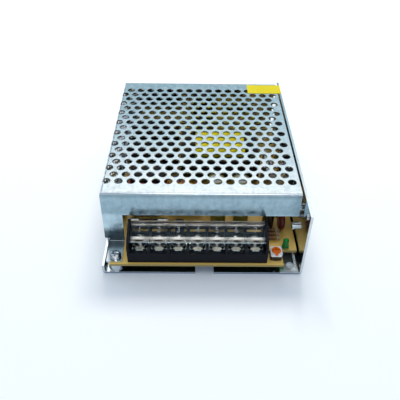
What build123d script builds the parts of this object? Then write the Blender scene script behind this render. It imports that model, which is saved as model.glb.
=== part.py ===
from build123d import *
import os
from math import pi, sqrt

os.makedirs("parts", exist_ok=True)

BOTTOM = (Align.CENTER, Align.CENTER, Align.MIN)

# Case, outside sizes and sheet metal
case_length = 129.0
case_width = 100.0
case_height = 38.0
chassis_sheet = 1.2
chassis_bend = 0.8
cover_sheet = 0.8
cover_bend = 0.6
flange_height = 5.6
wall_front_slant = 2.0

left_face = -case_width / 2
right_face = case_width / 2
front_edge = -case_length / 2
rear_edge = case_length / 2
floor_top = chassis_sheet
wall_inner = right_face - chassis_sheet

# Where the cover sits on the chassis
terminal_recess = 17.7
rear_recess = 1.6
cover_wall_gap = 1.1
cover_flange_gap = 0.4
flap_depth = 13.4
flap_lean = 2.6
leg_width = 10.0
tab_inset = 2.3
tab_front_gap = 0.8
tab_corner = 0.7
hook_width = 8.0
hook_clearance = 0.3
slit_width = 0.3

flap_face = front_edge + terminal_recess
cover_rear = rear_edge - rear_recess
cover_right = wall_inner - cover_wall_gap
side_bottom = flange_height + cover_flange_gap
flap_bottom = case_height - flap_depth

# Perforation: staggered rows of round holes
hole_pitch = 6.116
hole_diameter = 4.35
hole_rows = 18
first_row_back = 9.1
right_margin = 3.8
side_margin = 7.0

# Circuit board and what holds it
standoff_height = 4.4
standoff_base_radius = 3.9
standoff_top_radius = 2.9
board_thickness = 1.6
board_left_gap = 3.9
board_right_gap = 0.7
board_rear_gap = 0.9
corner_cut_x = 8.0
corner_cut_y = 9.6
tapped_radius = 1.5
screw_clearance = 0.05
screw_hole_radius = 1.8
sheet_thickness = 0.25
sheet_margin = 7.0

board_bottom = floor_top + standoff_height
board_top = board_bottom + board_thickness
board_left = left_face + board_left_gap
board_right = wall_inner - board_right_gap
board_rear = cover_rear - cover_sheet - board_rear_gap
tab_top = board_top + cover_sheet

tab_screw_xy = (left_face + 6.5, front_edge + 4.3)
board_screw_xy = [
    (left_face + 6.3, rear_edge - 12.5),
    (right_face - 8.0, rear_edge - 12.5),
    (right_face - 8.0, front_edge + 35.5),
]

# Ways to fasten the supply
base_hole_radius = 2.0
base_hole_inset = (5.3, 5.0)
notch_width = 9.3
notch_depth = 5.0
notch_offset = 1.0
boss_radius = 2.2
boss_height = 2.2
boss_tap_radius = 1.25
boss_first_y = front_edge + 22.3
boss_spacing_y = 77.0
boss_first_z = 12.2
boss_spacing_z = 13.6
boss_centre_y = boss_first_y + boss_spacing_y / 2
boss_centre_z = boss_first_z + boss_spacing_z / 2

# Small screw through the top front corner of the wall
corner_screw_y = front_edge + 7.0
corner_screw_z = case_height - 4.5
corner_screw_radius = 1.0
corner_head_radius = 1.7
corner_head_height = 0.9
corner_screw_reach = 1.4

# Terminal strip
pole_count = 7
pole_pitch = 9.5
strip_centre = -2.6
end_wall = 1.2
barrier = 1.3
block_front = front_edge + 1.0
block_depth = 15.5
seat_height = 5.2
ledge_height = 6.4
barrier_height = 9.8
rear_wall_height = 12.3
rear_wall_thickness = 3.0
end_wall_height = 15.6
window_size = (7.8, 2.6)
window_skin = 1.0
window_height = 9.3
plate_thickness = 1.0
plate_width = 7.8
plate_gap = 0.1
tongue_width = 3.4
tongue_length = 1.1
pin_size = 0.9
clamp_screw_radius = 1.7
clamp_head_radius = 3.0
clamp_head_height = 2.4
clamp_shank = 6.4
clamp_screw_back = 7.8
running_clearance = 0.05
washer_size = (7.4, 8.0, 1.2)
washer_corner = 1.3
well_clearance = 0.3

strip_width = pole_count * pole_pitch
block_rear = block_front + block_depth
seat_level = board_top + seat_height
plate_top = seat_level + plate_thickness
ledge_back = block_front + 3.1
clamp_y = block_front + clamp_screw_back
pole_x = [strip_centre + (i - (pole_count - 1) / 2) * pole_pitch for i in range(pole_count)]

# Hinged clear lid over the terminals
lid_sheet = 0.9
lid_side_gap = 0.2
hinge_back = 1.4
hinge_height = 14.0
barrel_radius = 0.9
hinge_pin_radius = 0.7
hinge_pin_length = 1.0
lid_step = 1.2
lid_step_run = 0.7
lid_bend = 0.6
lid_bar = 1.9
lid_front = block_front + 3.7
lip_bottom = board_top + 10.2

hinge_y = block_rear - hinge_back
hinge_z = board_top + hinge_height

# Leads go through the board, and stop above the insulating sheet
lead_radius = 0.4
lead_hole_radius = 0.6
lead_reach = 1.6
lead_tip = board_bottom - lead_reach
lead_points = []
pin_points = []
pin_hole_radius = 0.8

# Shapes that several components share
disc_stand = 1.2
disc_round = 0.9
can_edge = 0.4
can_crimp = 2.0
can_groove = 0.4
can_rim = 1.2
can_sunk = 0.25
chip_stand = 0.6
chip_pin = 0.5
chip_row_spacing = 7.62
leg_pitch = 2.54


def save(builder, name):
    """Label a finished piece and write it."""
    builder.part.label = name
    export_step(builder.part, f"parts/{name}.step")


def block(x, y, z, mode=Mode.ADD):
    """A rectangular block between two values on each axis, in the part being built."""
    centre = [(low + high) / 2 for low, high in (x, y, z)]
    with Locations(tuple(centre)):
        Box(x[1] - x[0], y[1] - y[0], z[1] - z[0], mode=mode)


def wire_leads(points, top):
    """Round leads from inside a component down through the board."""
    lead_points.extend(points)
    with Locations(*[(x, y, lead_tip) for x, y in points]):
        Cylinder(lead_radius, top - lead_tip, align=BOTTOM)


def flat_pins(points, top, along_x=0.7, along_y=0.7):
    """Rectangular pins from inside a component down through the board."""
    pin_points.extend(points)
    with Locations(*[(x, y, lead_tip) for x, y in points]):
        Box(along_x, along_y, top - lead_tip, align=BOTTOM)


def side_of(seat):
    """The plane through a seat's own x direction and its normal."""
    return Plane(seat.origin, seat.x_dir, -seat.y_dir)


def turned(seat, *outline):
    """Turn a half outline, given as radius and height, about the normal of its seat."""
    with BuildSketch(side_of(seat)) as half:
        with BuildLine():
            Polyline(*outline, close=True)
        make_face()
    revolve(half.sketch, axis=Axis(seat.origin, seat.z_dir))


def pan_screw(seat, head_radius, head_height, shank_radius, shank_length):
    """A pan head screw: head above its seat, shank below it, and a cross recess."""
    rim = 0.45 * head_height
    with BuildSketch(side_of(seat)) as half:
        with BuildLine():
            Polyline(
                (0, head_height), (0, -shank_length), (shank_radius, -shank_length),
                (shank_radius, 0), (head_radius, 0), (head_radius, rim),
            )
            EllipticalCenterArc((0, rim), head_radius, head_height - rim, start_angle=0, arc_size=90)
        make_face()
    revolve(half.sketch, axis=Axis(seat.origin, seat.z_dir))
    with Locations(seat.offset(head_height)):
        Box(1.2 * head_radius, 0.3 * head_radius, head_height, mode=Mode.SUBTRACT)
        Box(0.3 * head_radius, 1.2 * head_radius, head_height, mode=Mode.SUBTRACT)


def axial_lead(x, y, z, run):
    """A lead that leaves a component sideways for a run and bends down through the board."""
    lead_points.append((x + run, y))
    with BuildLine() as route:
        FilletPolyline(
            (x, y, z), (x + run, y, z), (x + run, y, lead_tip), radius=2 * lead_radius
        )
    with BuildSketch(Plane((x, y, z), z_dir=(run, 0, 0))) as section:
        Circle(lead_radius)
    sweep(section.sketch, path=route.line)


def disc_part(x, y, radius, thickness, lead_spacing):
    """A coated disc on two leads, with its flat sides facing left and right."""
    centre_z = board_top + disc_stand + radius
    turned(
        Plane((x - thickness / 2, y, centre_z), z_dir=(1, 0, 0)),
        (0, 0), (radius - disc_round, 0), (radius, disc_round),
        (radius, thickness - disc_round), (radius - disc_round, thickness), (0, thickness),
    )
    wire_leads([(x, y - lead_spacing / 2), (x, y + lead_spacing / 2)], centre_z)


def crimped_can(seat, radius, height):
    """An aluminium can in its sleeve, crimped above its base and sunk at the top."""
    turned(
        seat,
        (0, 0), (radius - can_edge, 0), (radius, can_edge), (radius, can_crimp - can_groove),
        (radius - can_groove, can_crimp), (radius, can_crimp + can_groove),
        (radius, height - 2 * can_edge), (radius - 2 * can_edge, height),
        (radius - can_rim, height), (radius - can_rim, height - can_sunk), (0, height - can_sunk),
    )


def upright_can(x, y, radius, height, lead_spacing):
    """A crimped can that stands on the board."""
    crimped_can(Plane((x, y, board_top)), radius, height)
    wire_leads([(x - lead_spacing / 2, y), (x + lead_spacing / 2, y)], board_top + 1)


def dual_row_part(x, y, size, pins):
    """A moulded body with a row of pins along each long side."""
    body_bottom = board_top + chip_stand
    block(
        (x - size[0] / 2, x + size[0] / 2), (y - size[1] / 2, y + size[1] / 2),
        (body_bottom, body_bottom + size[2]),
    )
    shoulder = body_bottom + size[2] / 2
    for i in range(pins // 2):
        pin_x = x + (i - (pins / 2 - 1) / 2) * leg_pitch
        block(
            (pin_x - chip_pin / 2, pin_x + chip_pin / 2),
            (y - chip_row_spacing / 2, y + chip_row_spacing / 2), (shoulder - 0.2, shoulder),
        )
        flat_pins([(pin_x, y + side * chip_row_spacing / 2) for side in (-1, 1)],
                  shoulder, chip_pin, 0.25)


# Chassis: base, tall right wall and low left flange folded from one sheet
with BuildPart() as chassis:
    with BuildSketch(Plane.XZ.offset(-front_edge)):
        with BuildLine():
            FilletPolyline(
                (left_face + chassis_sheet / 2, flange_height),
                (left_face + chassis_sheet / 2, chassis_sheet / 2),
                (right_face - chassis_sheet / 2, chassis_sheet / 2),
                (right_face - chassis_sheet / 2, case_height),
                radius=chassis_bend + chassis_sheet / 2,
            )
        trace(line_width=chassis_sheet)
    extrude(amount=-case_length)

    # the wall's front edge leans back towards the top
    with BuildSketch(Plane.YZ.offset(wall_inner - 1)):
        with BuildLine():
            Polyline(
                (front_edge, flange_height), (front_edge, case_height),
                (front_edge + wall_front_slant, case_height), close=True,
            )
        make_face()
    extrude(amount=chassis_sheet + 2, mode=Mode.SUBTRACT)

    # dished standoffs under the board, each tapped for a screw
    standoff_xy = [tab_screw_xy, *board_screw_xy]
    with Locations(*[(x, y, floor_top) for x, y in standoff_xy]):
        Cone(standoff_base_radius, standoff_top_radius, standoff_height, align=BOTTOM)
    with Locations(*[(x, y, 0) for x, y in standoff_xy]):
        Cone(
            standoff_base_radius - chassis_sheet, standoff_top_radius - chassis_sheet,
            standoff_height, align=BOTTOM, mode=Mode.SUBTRACT,
        )
        Cylinder(tapped_radius, board_bottom, align=BOTTOM, mode=Mode.SUBTRACT)

    # open notches at the middle of both ends, and a round hole at each right corner
    with BuildSketch(Plane.XY):
        for end, inward in ((front_edge, 1), (rear_edge, -1)):
            with Locations((notch_offset, end + inward * (notch_depth / 2 - 1))):
                RectangleRounded(notch_width, notch_depth + 2, 0.9)
            with Locations((right_face - base_hole_inset[0], end + inward * base_hole_inset[1])):
                Circle(base_hole_radius)
        # slots for the hooks of the cover
        with Locations(
            (left_face + case_width / 4, cover_rear - cover_sheet / 2),
            (right_face - case_width / 4, cover_rear - cover_sheet / 2),
        ):
            Rectangle(hook_width + 2 * hook_clearance, cover_sheet + 2 * hook_clearance)
    extrude(amount=chassis_sheet, mode=Mode.SUBTRACT)

    # side fastening: four bosses pressed inwards and tapped
    with BuildSketch(Plane.YZ.offset(wall_inner - boss_height)):
        with Locations((boss_centre_y, boss_centre_z)):
            with GridLocations(boss_spacing_y, boss_spacing_z, 2, 2):
                Circle(boss_radius)
    extrude(amount=boss_height + chassis_sheet / 2)
    with BuildSketch(Plane.YZ.offset(wall_inner - boss_height)):
        with Locations((boss_centre_y, boss_centre_z)):
            with GridLocations(boss_spacing_y, boss_spacing_z, 2, 2):
                Circle(boss_tap_radius)
        with Locations((corner_screw_y, corner_screw_z)):
            Circle(corner_screw_radius + screw_clearance)
    extrude(amount=boss_height + chassis_sheet, mode=Mode.SUBTRACT)

# Semiconductors pressed on the wall in pairs by clamp bars
device_size = (10.0, 15.5, 3.3)
device_pair_spacing = 16.0
device_pair_y = [front_edge + 55.5, front_edge + 83.0]
device_bottom = board_top + 8.0
pad_thickness = 0.3
pad_margin = 0.5
clamp_bar_size = (26.0, 8.0, 1.2)
clamp_bar_z = device_bottom + 10.0
wall_screw_radius = 1.45
wall_screw_head = (2.8, 1.8)
wall_screw_short = 0.3

pad_face = wall_inner - pad_thickness
device_face = pad_face - device_size[2]
clamp_face = device_face - clamp_bar_size[2]
device_y = [y + side * device_pair_spacing / 2 for y in device_pair_y for side in (-1, 1)]

with chassis:
    with BuildSketch(Plane.YZ.offset(wall_inner)):
        with Locations(*[(y, clamp_bar_z) for y in device_pair_y]):
            Circle(wall_screw_radius + screw_clearance)
    extrude(amount=chassis_sheet, mode=Mode.SUBTRACT)
save(chassis, "chassis")


# Cover: top, left side, front flap with a leg and screw tab, rear flap with hooks
outer_bend = cover_bend + cover_sheet
row_spacing = hole_pitch * sqrt(3) / 2
hole_radius = hole_diameter / 2
bend_start = left_face + outer_bend
bend_arc = pi / 2 * (cover_bend + cover_sheet / 2)
last_hole_x = cover_right - right_margin


def row_holes(row):
    """Flat places of one row's holes, from the right edge over the left bend and down the side."""
    first = last_hole_x - (row % 2) * hole_pitch / 2
    reach = first - (left_face - (case_height - side_bottom - side_margin))
    return [first - i * hole_pitch for i in range(int(reach / hole_pitch) + 1)]


top_holes = []
side_holes = []
for row in range(hole_rows):
    y = flap_face + first_row_back + row * row_spacing
    for x in row_holes(row):
        beyond = bend_start - x
        if beyond < bend_arc:
            top_holes.append((x, y))
        if beyond > -hole_radius:
            side_holes.append((y, case_height - outer_bend - (beyond - bend_arc)))

flap_foot = flap_face - flap_lean
tab_front = front_edge + tab_front_gap
leg_straight_end = board_top + outer_bend + 1
slit_top = case_height - outer_bend - cover_bend


def round_top(builder, radius):
    """Round the left and the rear edge of a block's top."""
    top = builder.edges().group_by(Axis.Z)[-1]
    fillet([top.sort_by(Axis.X)[0], top.sort_by(Axis.Y)[-1]], radius=radius)


with BuildPart() as cavity:
    block(
        (left_face + cover_sheet, cover_right + 1), (flap_face, cover_rear - cover_sheet),
        (0, case_height - cover_sheet),
    )
    round_top(cavity, cover_bend)

with BuildPart() as envelope:
    block((left_face, cover_right), (front_edge, cover_rear), (0, case_height))
    fillet(envelope.edges().group_by(Axis.Z)[-1].sort_by(Axis.X)[0], radius=outer_bend)

# the front flap leans forward, and its leg turns forward into the screw tab on the board
with BuildPart() as front_flap:
    with BuildSketch(Plane.YZ.offset(left_face)):
        with BuildLine():
            FilletPolyline(
                (flap_face + outer_bend + 1, case_height - cover_sheet / 2),
                (flap_face + cover_sheet / 2, case_height - cover_sheet / 2),
                (flap_foot + cover_sheet / 2, board_top + cover_sheet / 2),
                (tab_front, board_top + cover_sheet / 2),
                radius=cover_bend + cover_sheet / 2,
            )
        trace(line_width=cover_sheet)
    extrude(amount=cover_right - left_face)
    add(envelope.part, mode=Mode.INTERSECT)
    block(
        (left_face + leg_width, cover_right + 1), (front_edge - 1, flap_face + 1),
        (0, flap_bottom), mode=Mode.SUBTRACT,
    )
    block(
        (left_face - 1, left_face + tab_inset), (front_edge - 1, flap_face + 1),
        (0, leg_straight_end), mode=Mode.SUBTRACT,
    )
    fillet(front_flap.edges().filter_by(Axis.Z).group_by(Axis.Y)[0], radius=tab_corner)
    with BuildSketch(Plane.XY.offset(board_top)):
        with Locations(tab_screw_xy):
            Circle(screw_hole_radius)
    extrude(amount=cover_sheet, mode=Mode.SUBTRACT)

with BuildPart() as cover:
    block((left_face, cover_right), (flap_face + outer_bend, cover_rear), (side_bottom, case_height))
    round_top(cover, outer_bend)
    add(cavity.part, mode=Mode.SUBTRACT)
    add(front_flap.part)

    # the sheet is slit where the rear flap meets the side
    block(
        (left_face - 1, left_face + cover_sheet),
        (cover_rear - cover_sheet - slit_width, cover_rear - cover_sheet),
        (0, slit_top), mode=Mode.SUBTRACT,
    )

    # the rear flap reaches down inside the flange, and its hooks go through the base
    with BuildSketch(Plane.XZ.offset(-cover_rear)):
        flap_left = left_face + chassis_sheet + cover_flange_gap
        flap_end = floor_top + cover_flange_gap
        with Locations(((flap_left + cover_right) / 2, (flap_end + side_bottom) / 2)):
            Rectangle(cover_right - flap_left, side_bottom - flap_end)
        for x in (left_face + case_width / 4, right_face - case_width / 4):
            with Locations((x, (side_bottom + hook_clearance) / 2)):
                Rectangle(hook_width, side_bottom - hook_clearance)
    extrude(amount=cover_sheet)
    block(
        (notch_offset - notch_width / 2 - 1, notch_offset + notch_width / 2 + 1),
        (cover_rear - 2, cover_rear + 1), (0, board_bottom + 1), mode=Mode.SUBTRACT,
    )

    # perforation: through the top and the bend, then through the side
    with BuildSketch(Plane.XY.offset(case_height - outer_bend)):
        with Locations(*top_holes):
            Circle(hole_radius)
    extrude(amount=outer_bend + 1, mode=Mode.SUBTRACT)
    with BuildSketch(Plane.YZ.offset(left_face - 1)):
        with Locations(*side_holes):
            Circle(hole_radius)
    extrude(amount=outer_bend + 1, mode=Mode.SUBTRACT)
save(cover, "cover")


# Screws of the case
case_screw_radius = tapped_radius - screw_clearance
tab_screw_head = (3.0, 2.0)
tab_screw_length = 6.0
board_screw_head = (2.8, 1.8)
board_screw_length = 5.2
with BuildPart() as tab_screw:
    pan_screw(
        Plane((*tab_screw_xy, tab_top)), *tab_screw_head, case_screw_radius, tab_screw_length
    )
save(tab_screw, "tab_screw")

with BuildPart() as board_screws:
    for x, y in board_screw_xy:
        pan_screw(
            Plane((x, y, board_top)), *board_screw_head, case_screw_radius, board_screw_length
        )
save(board_screws, "board_screws")

with BuildPart() as corner_screw:
    pan_screw(
        Plane((wall_inner, corner_screw_y, corner_screw_z), z_dir=(-1, 0, 0)),
        corner_head_radius, corner_head_height, corner_screw_radius,
        chassis_sheet + corner_screw_reach,
    )
save(corner_screw, "corner_screw")

# Paper label over the rear right corner, from the cover across the gap to the wall
label_size = (21.2, 10.5, 0.2)
label_rear = cover_rear - 2.6
with BuildPart() as cover_label:
    block(
        (right_face - label_size[0], right_face), (label_rear - label_size[1], label_rear),
        (case_height, case_height + label_size[2]),
    )
save(cover_label, "cover_label")

# Insulating sheet on the base, clear of the standoffs
with BuildPart() as insulation_sheet:
    with BuildSketch(Plane.XY.offset(floor_top)):
        Rectangle(board_right - board_left - 2, case_length - 2 * sheet_margin)
        with Locations(*standoff_xy):
            notch_side = 2 * standoff_base_radius + 1.2
            Rectangle(notch_side, notch_side, mode=Mode.SUBTRACT)
    extrude(amount=sheet_thickness)
save(insulation_sheet, "insulation_sheet")


# Terminal strip: one black moulding with a compartment for each pole
strip_left = strip_centre - strip_width / 2
strip_right = strip_centre + strip_width / 2
rear_wall_front = block_rear - rear_wall_thickness
ledge_top = board_top + ledge_height
window_z = board_top + window_height

with BuildPart() as terminal_block:
    # low body, with the ledge in front of the plates and the rear wall behind them
    with BuildSketch(Plane.YZ.offset(strip_left - end_wall)):
        with BuildLine():
            Polyline(
                (block_front, board_top), (block_rear, board_top),
                (block_rear, board_top + rear_wall_height),
                (rear_wall_front, board_top + rear_wall_height), (rear_wall_front, seat_level),
                (ledge_back, seat_level), (ledge_back, ledge_top), (block_front, ledge_top),
                close=True,
            )
        make_face()
        fillet(vertices().group_by(Axis.Y)[-1], radius=0.4)
    extrude(amount=strip_width + 2 * end_wall)

    # barriers between the poles
    barrier_top = board_top + barrier_height
    for x in pole_x[:-1]:
        with BuildSketch(Plane.YZ.offset(x + (pole_pitch - barrier) / 2)):
            with BuildLine():
                Polyline(
                    (block_front, board_top), (rear_wall_front, board_top),
                    (rear_wall_front, barrier_top), (block_front + 1.2, barrier_top),
                    (block_front, barrier_top - 1.2), close=True,
                )
            make_face()
        extrude(amount=barrier)

    # higher end walls, which carry the lid's pins
    for x in (strip_left - end_wall, strip_right):
        with BuildSketch(Plane.YZ.offset(x)):
            with BuildLine():
                Polyline(
                    (block_front, board_top), (block_rear, board_top),
                    (block_rear, board_top + end_wall_height),
                    (hinge_y - 2.5, board_top + end_wall_height),
                    (block_front + 2.4, board_top + end_wall_height - 2.6),
                    (block_front, barrier_top), close=True,
                )
            make_face()
            fillet(vertices().group_by(Axis.Y)[-1], radius=1.0)
        extrude(amount=end_wall)
    with BuildSketch(Plane.YZ.offset(strip_left - end_wall)):
        with Locations((hinge_y, hinge_z)):
            Circle(hinge_pin_radius + running_clearance)
    extrude(amount=strip_width + 2 * end_wall, mode=Mode.SUBTRACT)

    for x in pole_x:
        # well for the clamp screw, recess for the plate's tongue, slot for its pin, rear window
        with Locations((x, clamp_y, board_top + 0.6)):
            Cylinder(
                clamp_screw_radius + well_clearance, seat_height, align=BOTTOM, mode=Mode.SUBTRACT
            )
        block(
            (x - tongue_width / 2 - plate_gap, x + tongue_width / 2 + plate_gap),
            (ledge_back - tongue_length, ledge_back + 1), (seat_level, ledge_top + 1),
            mode=Mode.SUBTRACT,
        )
        block(
            (x - pin_size, x + pin_size), (rear_wall_front - 2 * pin_size, rear_wall_front - 0.1),
            (board_top - 1, seat_level), mode=Mode.SUBTRACT,
        )
        block(
            (x - window_size[0] / 2, x + window_size[0] / 2), (rear_wall_front - 1, block_rear + 1),
            (window_z - window_size[1] / 2, window_z + window_size[1] / 2), mode=Mode.SUBTRACT,
        )
        # the wall is a thin skin here, with a hollow behind it
        block(
            (x - (pole_pitch - barrier) / 2, x + (pole_pitch - barrier) / 2),
            (rear_wall_front + window_skin, block_rear + 1),
            (board_top - 1, board_top + rear_wall_height - window_skin), mode=Mode.SUBTRACT,
        )
save(terminal_block, "terminal_block")

# Contact plates: each with a tongue in front, a tapped hole and a pin through the board
plate_front = ledge_back + plate_gap
plate_back = rear_wall_front - plate_gap
with BuildPart() as contact_plates:
    with BuildSketch(Plane.XY.offset(seat_level)):
        for x in pole_x:
            with Locations((x, (plate_front + plate_back) / 2)):
                Rectangle(plate_width, plate_back - plate_front)
            with Locations((x, plate_front)):
                Rectangle(tongue_width, 2 * (tongue_length - plate_gap))
            with Locations((x, clamp_y)):
                Circle(clamp_screw_radius + running_clearance, mode=Mode.SUBTRACT)
    extrude(amount=plate_thickness)
    flat_pins([(x, plate_back - pin_size) for x in pole_x], seat_level + 0.2, pin_size, pin_size)
save(contact_plates, "contact_plates")

# Captive square washers and the clamp screws in them
washer_top = plate_top + washer_size[2]
for number, x in enumerate(pole_x, start=1):
    with BuildPart() as washer:
        with BuildSketch(Plane.XY.offset(plate_top)):
            with Locations((x, clamp_y)):
                Rectangle(washer_size[0], washer_size[1])
            chamfer(vertices(), washer_corner)
            with Locations((x, clamp_y)):
                Circle(clamp_screw_radius + running_clearance, mode=Mode.SUBTRACT)
        extrude(amount=washer_size[2])
    save(washer, f"terminal_washer_{number}")

    with BuildPart() as clamp_screw:
        pan_screw(
            Plane((x, clamp_y, washer_top)), clamp_head_radius, clamp_head_height,
            clamp_screw_radius, clamp_shank,
        )
    save(clamp_screw, f"terminal_screw_{number}")

# Clear lid: a bar at its hinge, a step down to the plate, and a lip in front of the screws
lid_left = strip_left + lid_side_gap
lid_length = strip_width - 2 * lid_side_gap
bar_z = hinge_z + barrel_radius - lid_sheet / 2
with BuildPart() as terminal_lid:
    with BuildSketch(Plane.YZ.offset(lid_left)):
        with BuildLine():
            FilletPolyline(
                (hinge_y, bar_z), (hinge_y - lid_bar, bar_z),
                (hinge_y - lid_bar - lid_step_run, bar_z - lid_step),
                (lid_front + lid_sheet / 2, bar_z - lid_step),
                (lid_front + lid_sheet / 2, lip_bottom),
                radius=lid_bend,
            )
        trace(line_width=lid_sheet)
        with Locations((hinge_y, hinge_z)):
            Circle(barrel_radius)
    extrude(amount=lid_length)
    pin_run = lid_side_gap + hinge_pin_length
    with BuildSketch(Plane.YZ.offset(lid_left - pin_run)):
        with Locations((hinge_y, hinge_z)):
            Circle(hinge_pin_radius)
    extrude(amount=lid_length + 2 * pin_run)
save(terminal_lid, "terminal_lid")


# Fuse: a glass tube in two end caps, which carry the leads
fuse_centre = (left_face + 21.7, front_edge + 24.0, board_top + 4.3)
fuse_length = 20.0
fuse_tube_radius = 2.6
fuse_tube_wall = 0.7
fuse_cap_length = 5.0
fuse_cap_wall = 0.35
fuse_lead_run = 1.6

with BuildPart() as fuse_tube:
    turned(
        Plane((fuse_centre[0], fuse_centre[1], fuse_centre[2]), z_dir=(1, 0, 0)),
        (fuse_tube_radius - fuse_tube_wall, fuse_cap_wall - fuse_length / 2),
        (fuse_tube_radius, fuse_cap_wall - fuse_length / 2),
        (fuse_tube_radius, fuse_length / 2 - fuse_cap_wall),
        (fuse_tube_radius - fuse_tube_wall, fuse_length / 2 - fuse_cap_wall),
    )
save(fuse_tube, "fuse_tube")

with BuildPart() as fuse_caps:
    cap_inner = fuse_tube_radius + running_clearance
    cap_outer = cap_inner + fuse_cap_wall
    for side in (-1, 1):
        end = fuse_centre[0] + side * fuse_length / 2
        turned(
            Plane((end, fuse_centre[1], fuse_centre[2]), z_dir=(-side, 0, 0)),
            (0, 0), (cap_outer, 0), (cap_outer, fuse_cap_length), (cap_inner, fuse_cap_length),
            (cap_inner, fuse_cap_wall), (0, fuse_cap_wall),
        )
        axial_lead(end, fuse_centre[1], fuse_centre[2], side * fuse_lead_run)
save(fuse_caps, "fuse_caps")


# Mains side: inrush and safety discs, filter capacitor, line choke, bridge, storage
disc_size = (4.5, 4.0, 5.0)
with BuildPart() as thermistor:
    disc_part(left_face + 6.5, front_edge + 52.5, *disc_size)
save(thermistor, "thermistor")

with BuildPart() as safety_capacitors:
    disc_part(left_face + 35.7, front_edge + 55.0, *disc_size)
    disc_part(left_face + 6.7, front_edge + 34.5, *disc_size)
save(safety_capacitors, "safety_capacitors")

box_capacitor_xy = (left_face + 18.5, front_edge + 60.0)
box_capacitor_size = (18.0, 8.0, 14.3)
box_lead_spacing = 15.0
with BuildPart() as x_capacitor:
    with Locations((*box_capacitor_xy, board_top)):
        Box(*box_capacitor_size, align=BOTTOM)
    fillet(x_capacitor.edges().filter_by(Axis.Z), radius=0.8)
    fillet(x_capacitor.faces().sort_by(Axis.Z)[-1].edges(), radius=0.5)
    wire_leads(
        [(box_capacitor_xy[0] + side * box_lead_spacing / 2, box_capacitor_xy[1]) for side in (-1, 1)],
        board_top + 1,
    )
save(x_capacitor, "x_capacitor")

choke_xy = (left_face + 20.5, front_edge + 47.5)
choke_base_size = (20.0, 12.0, 1.5)
choke_core_size = 18.0
choke_core_depth = 5.5
choke_leg = 4.5
choke_winding_gap = 0.15
choke_winding_thickness = 1.7
choke_bottom = board_top + choke_base_size[2]

with BuildPart() as line_choke_base:
    with Locations((*choke_xy, board_top)):
        Box(*choke_base_size, align=BOTTOM)
    flat_pins(
        [(choke_xy[0] + i * 8.5, choke_xy[1] + j * 5.0) for i in (-1, 1) for j in (-1, 1)],
        board_top + 1,
    )
save(line_choke_base, "line_choke_base")

with BuildPart() as line_choke_core:
    with BuildSketch(Plane.XZ.offset(-choke_xy[1])):
        with Locations((choke_xy[0], choke_bottom + choke_core_size / 2)):
            Rectangle(choke_core_size, choke_core_size)
            window = choke_core_size - 2 * choke_leg
            Rectangle(window, window, mode=Mode.SUBTRACT)
    extrude(amount=choke_core_depth / 2, both=True)
    fillet(line_choke_core.edges().filter_by(Axis.Y), radius=0.6)
save(line_choke_core, "line_choke_core")

with BuildPart() as line_choke_winding:
    with BuildSketch(Plane.XY.offset(choke_bottom + choke_leg + 2 * choke_winding_gap)):
        leg_offset = (choke_core_size - choke_leg) / 2
        for side in (-1, 1):
            with Locations((choke_xy[0] + side * leg_offset, choke_xy[1])):
                RectangleRounded(
                    choke_leg + 2 * (choke_winding_gap + choke_winding_thickness),
                    choke_core_depth + 2 * (choke_winding_gap + choke_winding_thickness),
                    choke_winding_thickness,
                )
                Rectangle(
                    choke_leg + 2 * choke_winding_gap, choke_core_depth + 2 * choke_winding_gap,
                    mode=Mode.SUBTRACT,
                )
    extrude(amount=window - 4 * choke_winding_gap)
save(line_choke_winding, "line_choke_winding")

bridge_xy = (left_face + 19.0, front_edge + 34.3)
bridge_size = (15.0, 3.6, 10.5)
bridge_stand = 2.0
bridge_pitch = 3.81
with BuildPart() as bridge_rectifier:
    with Locations((*bridge_xy, board_top + bridge_stand)):
        Box(*bridge_size, align=BOTTOM)
    chamfer(bridge_rectifier.edges().filter_by(Axis.Y).group_by(Axis.Z)[-1].sort_by(Axis.X)[0], 2.0)
    flat_pins(
        [(bridge_xy[0] + (i - 1.5) * bridge_pitch, bridge_xy[1]) for i in range(4)],
        board_top + bridge_stand + 1, 0.9, 0.5,
    )
save(bridge_rectifier, "bridge_rectifier")

storage_radius = 9.0
storage_length = 28.5
storage_base_x = left_face + 7.0
storage_lift = 0.3
storage_z = board_top + storage_lift + storage_radius
with BuildPart() as bulk_capacitors:
    for y in (front_edge + 78.0, front_edge + 98.5):
        crimped_can(
            Plane((storage_base_x, y, storage_z), z_dir=(1, 0, 0)), storage_radius, storage_length
        )
        for side in (-1, 1):
            axial_lead(storage_base_x, y + side * 3.75, storage_z, -1.4)
save(bulk_capacitors, "bulk_capacitors")


# Main transformer: lying core, bobbin with pins under its yokes, taped winding
core_size = (45.2, 33.4, 12.0)
core_centre = (right_face - 39.8, front_edge + 77.2, board_top + 11.8)
core_yoke = 5.5
core_outer_leg = 4.2
core_middle_leg = 10.0
bobbin_wall = 0.9
bobbin_gap = 0.3
bobbin_flange = 1.2
winding_size = (28.2, 24.4, 18.9)
winding_round = 3.0
rail_height = 5.5
transformer_pins = 5
transformer_pin_pitch = 5.0
transformer_pin_inset = 2.5

core_window_x = core_size[0] - 2 * core_yoke
core_window_y = core_size[1] - 2 * core_outer_leg
tube_inner = (core_middle_leg + 2 * bobbin_gap, core_size[2] + 2 * bobbin_gap)
tube_outer = (tube_inner[0] + 2 * bobbin_wall, tube_inner[1] + 2 * bobbin_wall)

with BuildPart() as transformer_core:
    with BuildSketch(Plane.XY.offset(core_centre[2])):
        with Locations(core_centre[:2]):
            Rectangle(core_size[0], core_size[1])
            Rectangle(core_window_x, core_window_y, mode=Mode.SUBTRACT)
            Rectangle(core_window_x + 1, core_middle_leg)
    extrude(amount=core_size[2] / 2, both=True)
    fillet(transformer_core.edges().filter_by(Axis.Z), radius=0.5)
save(transformer_core, "transformer_core")

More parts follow.
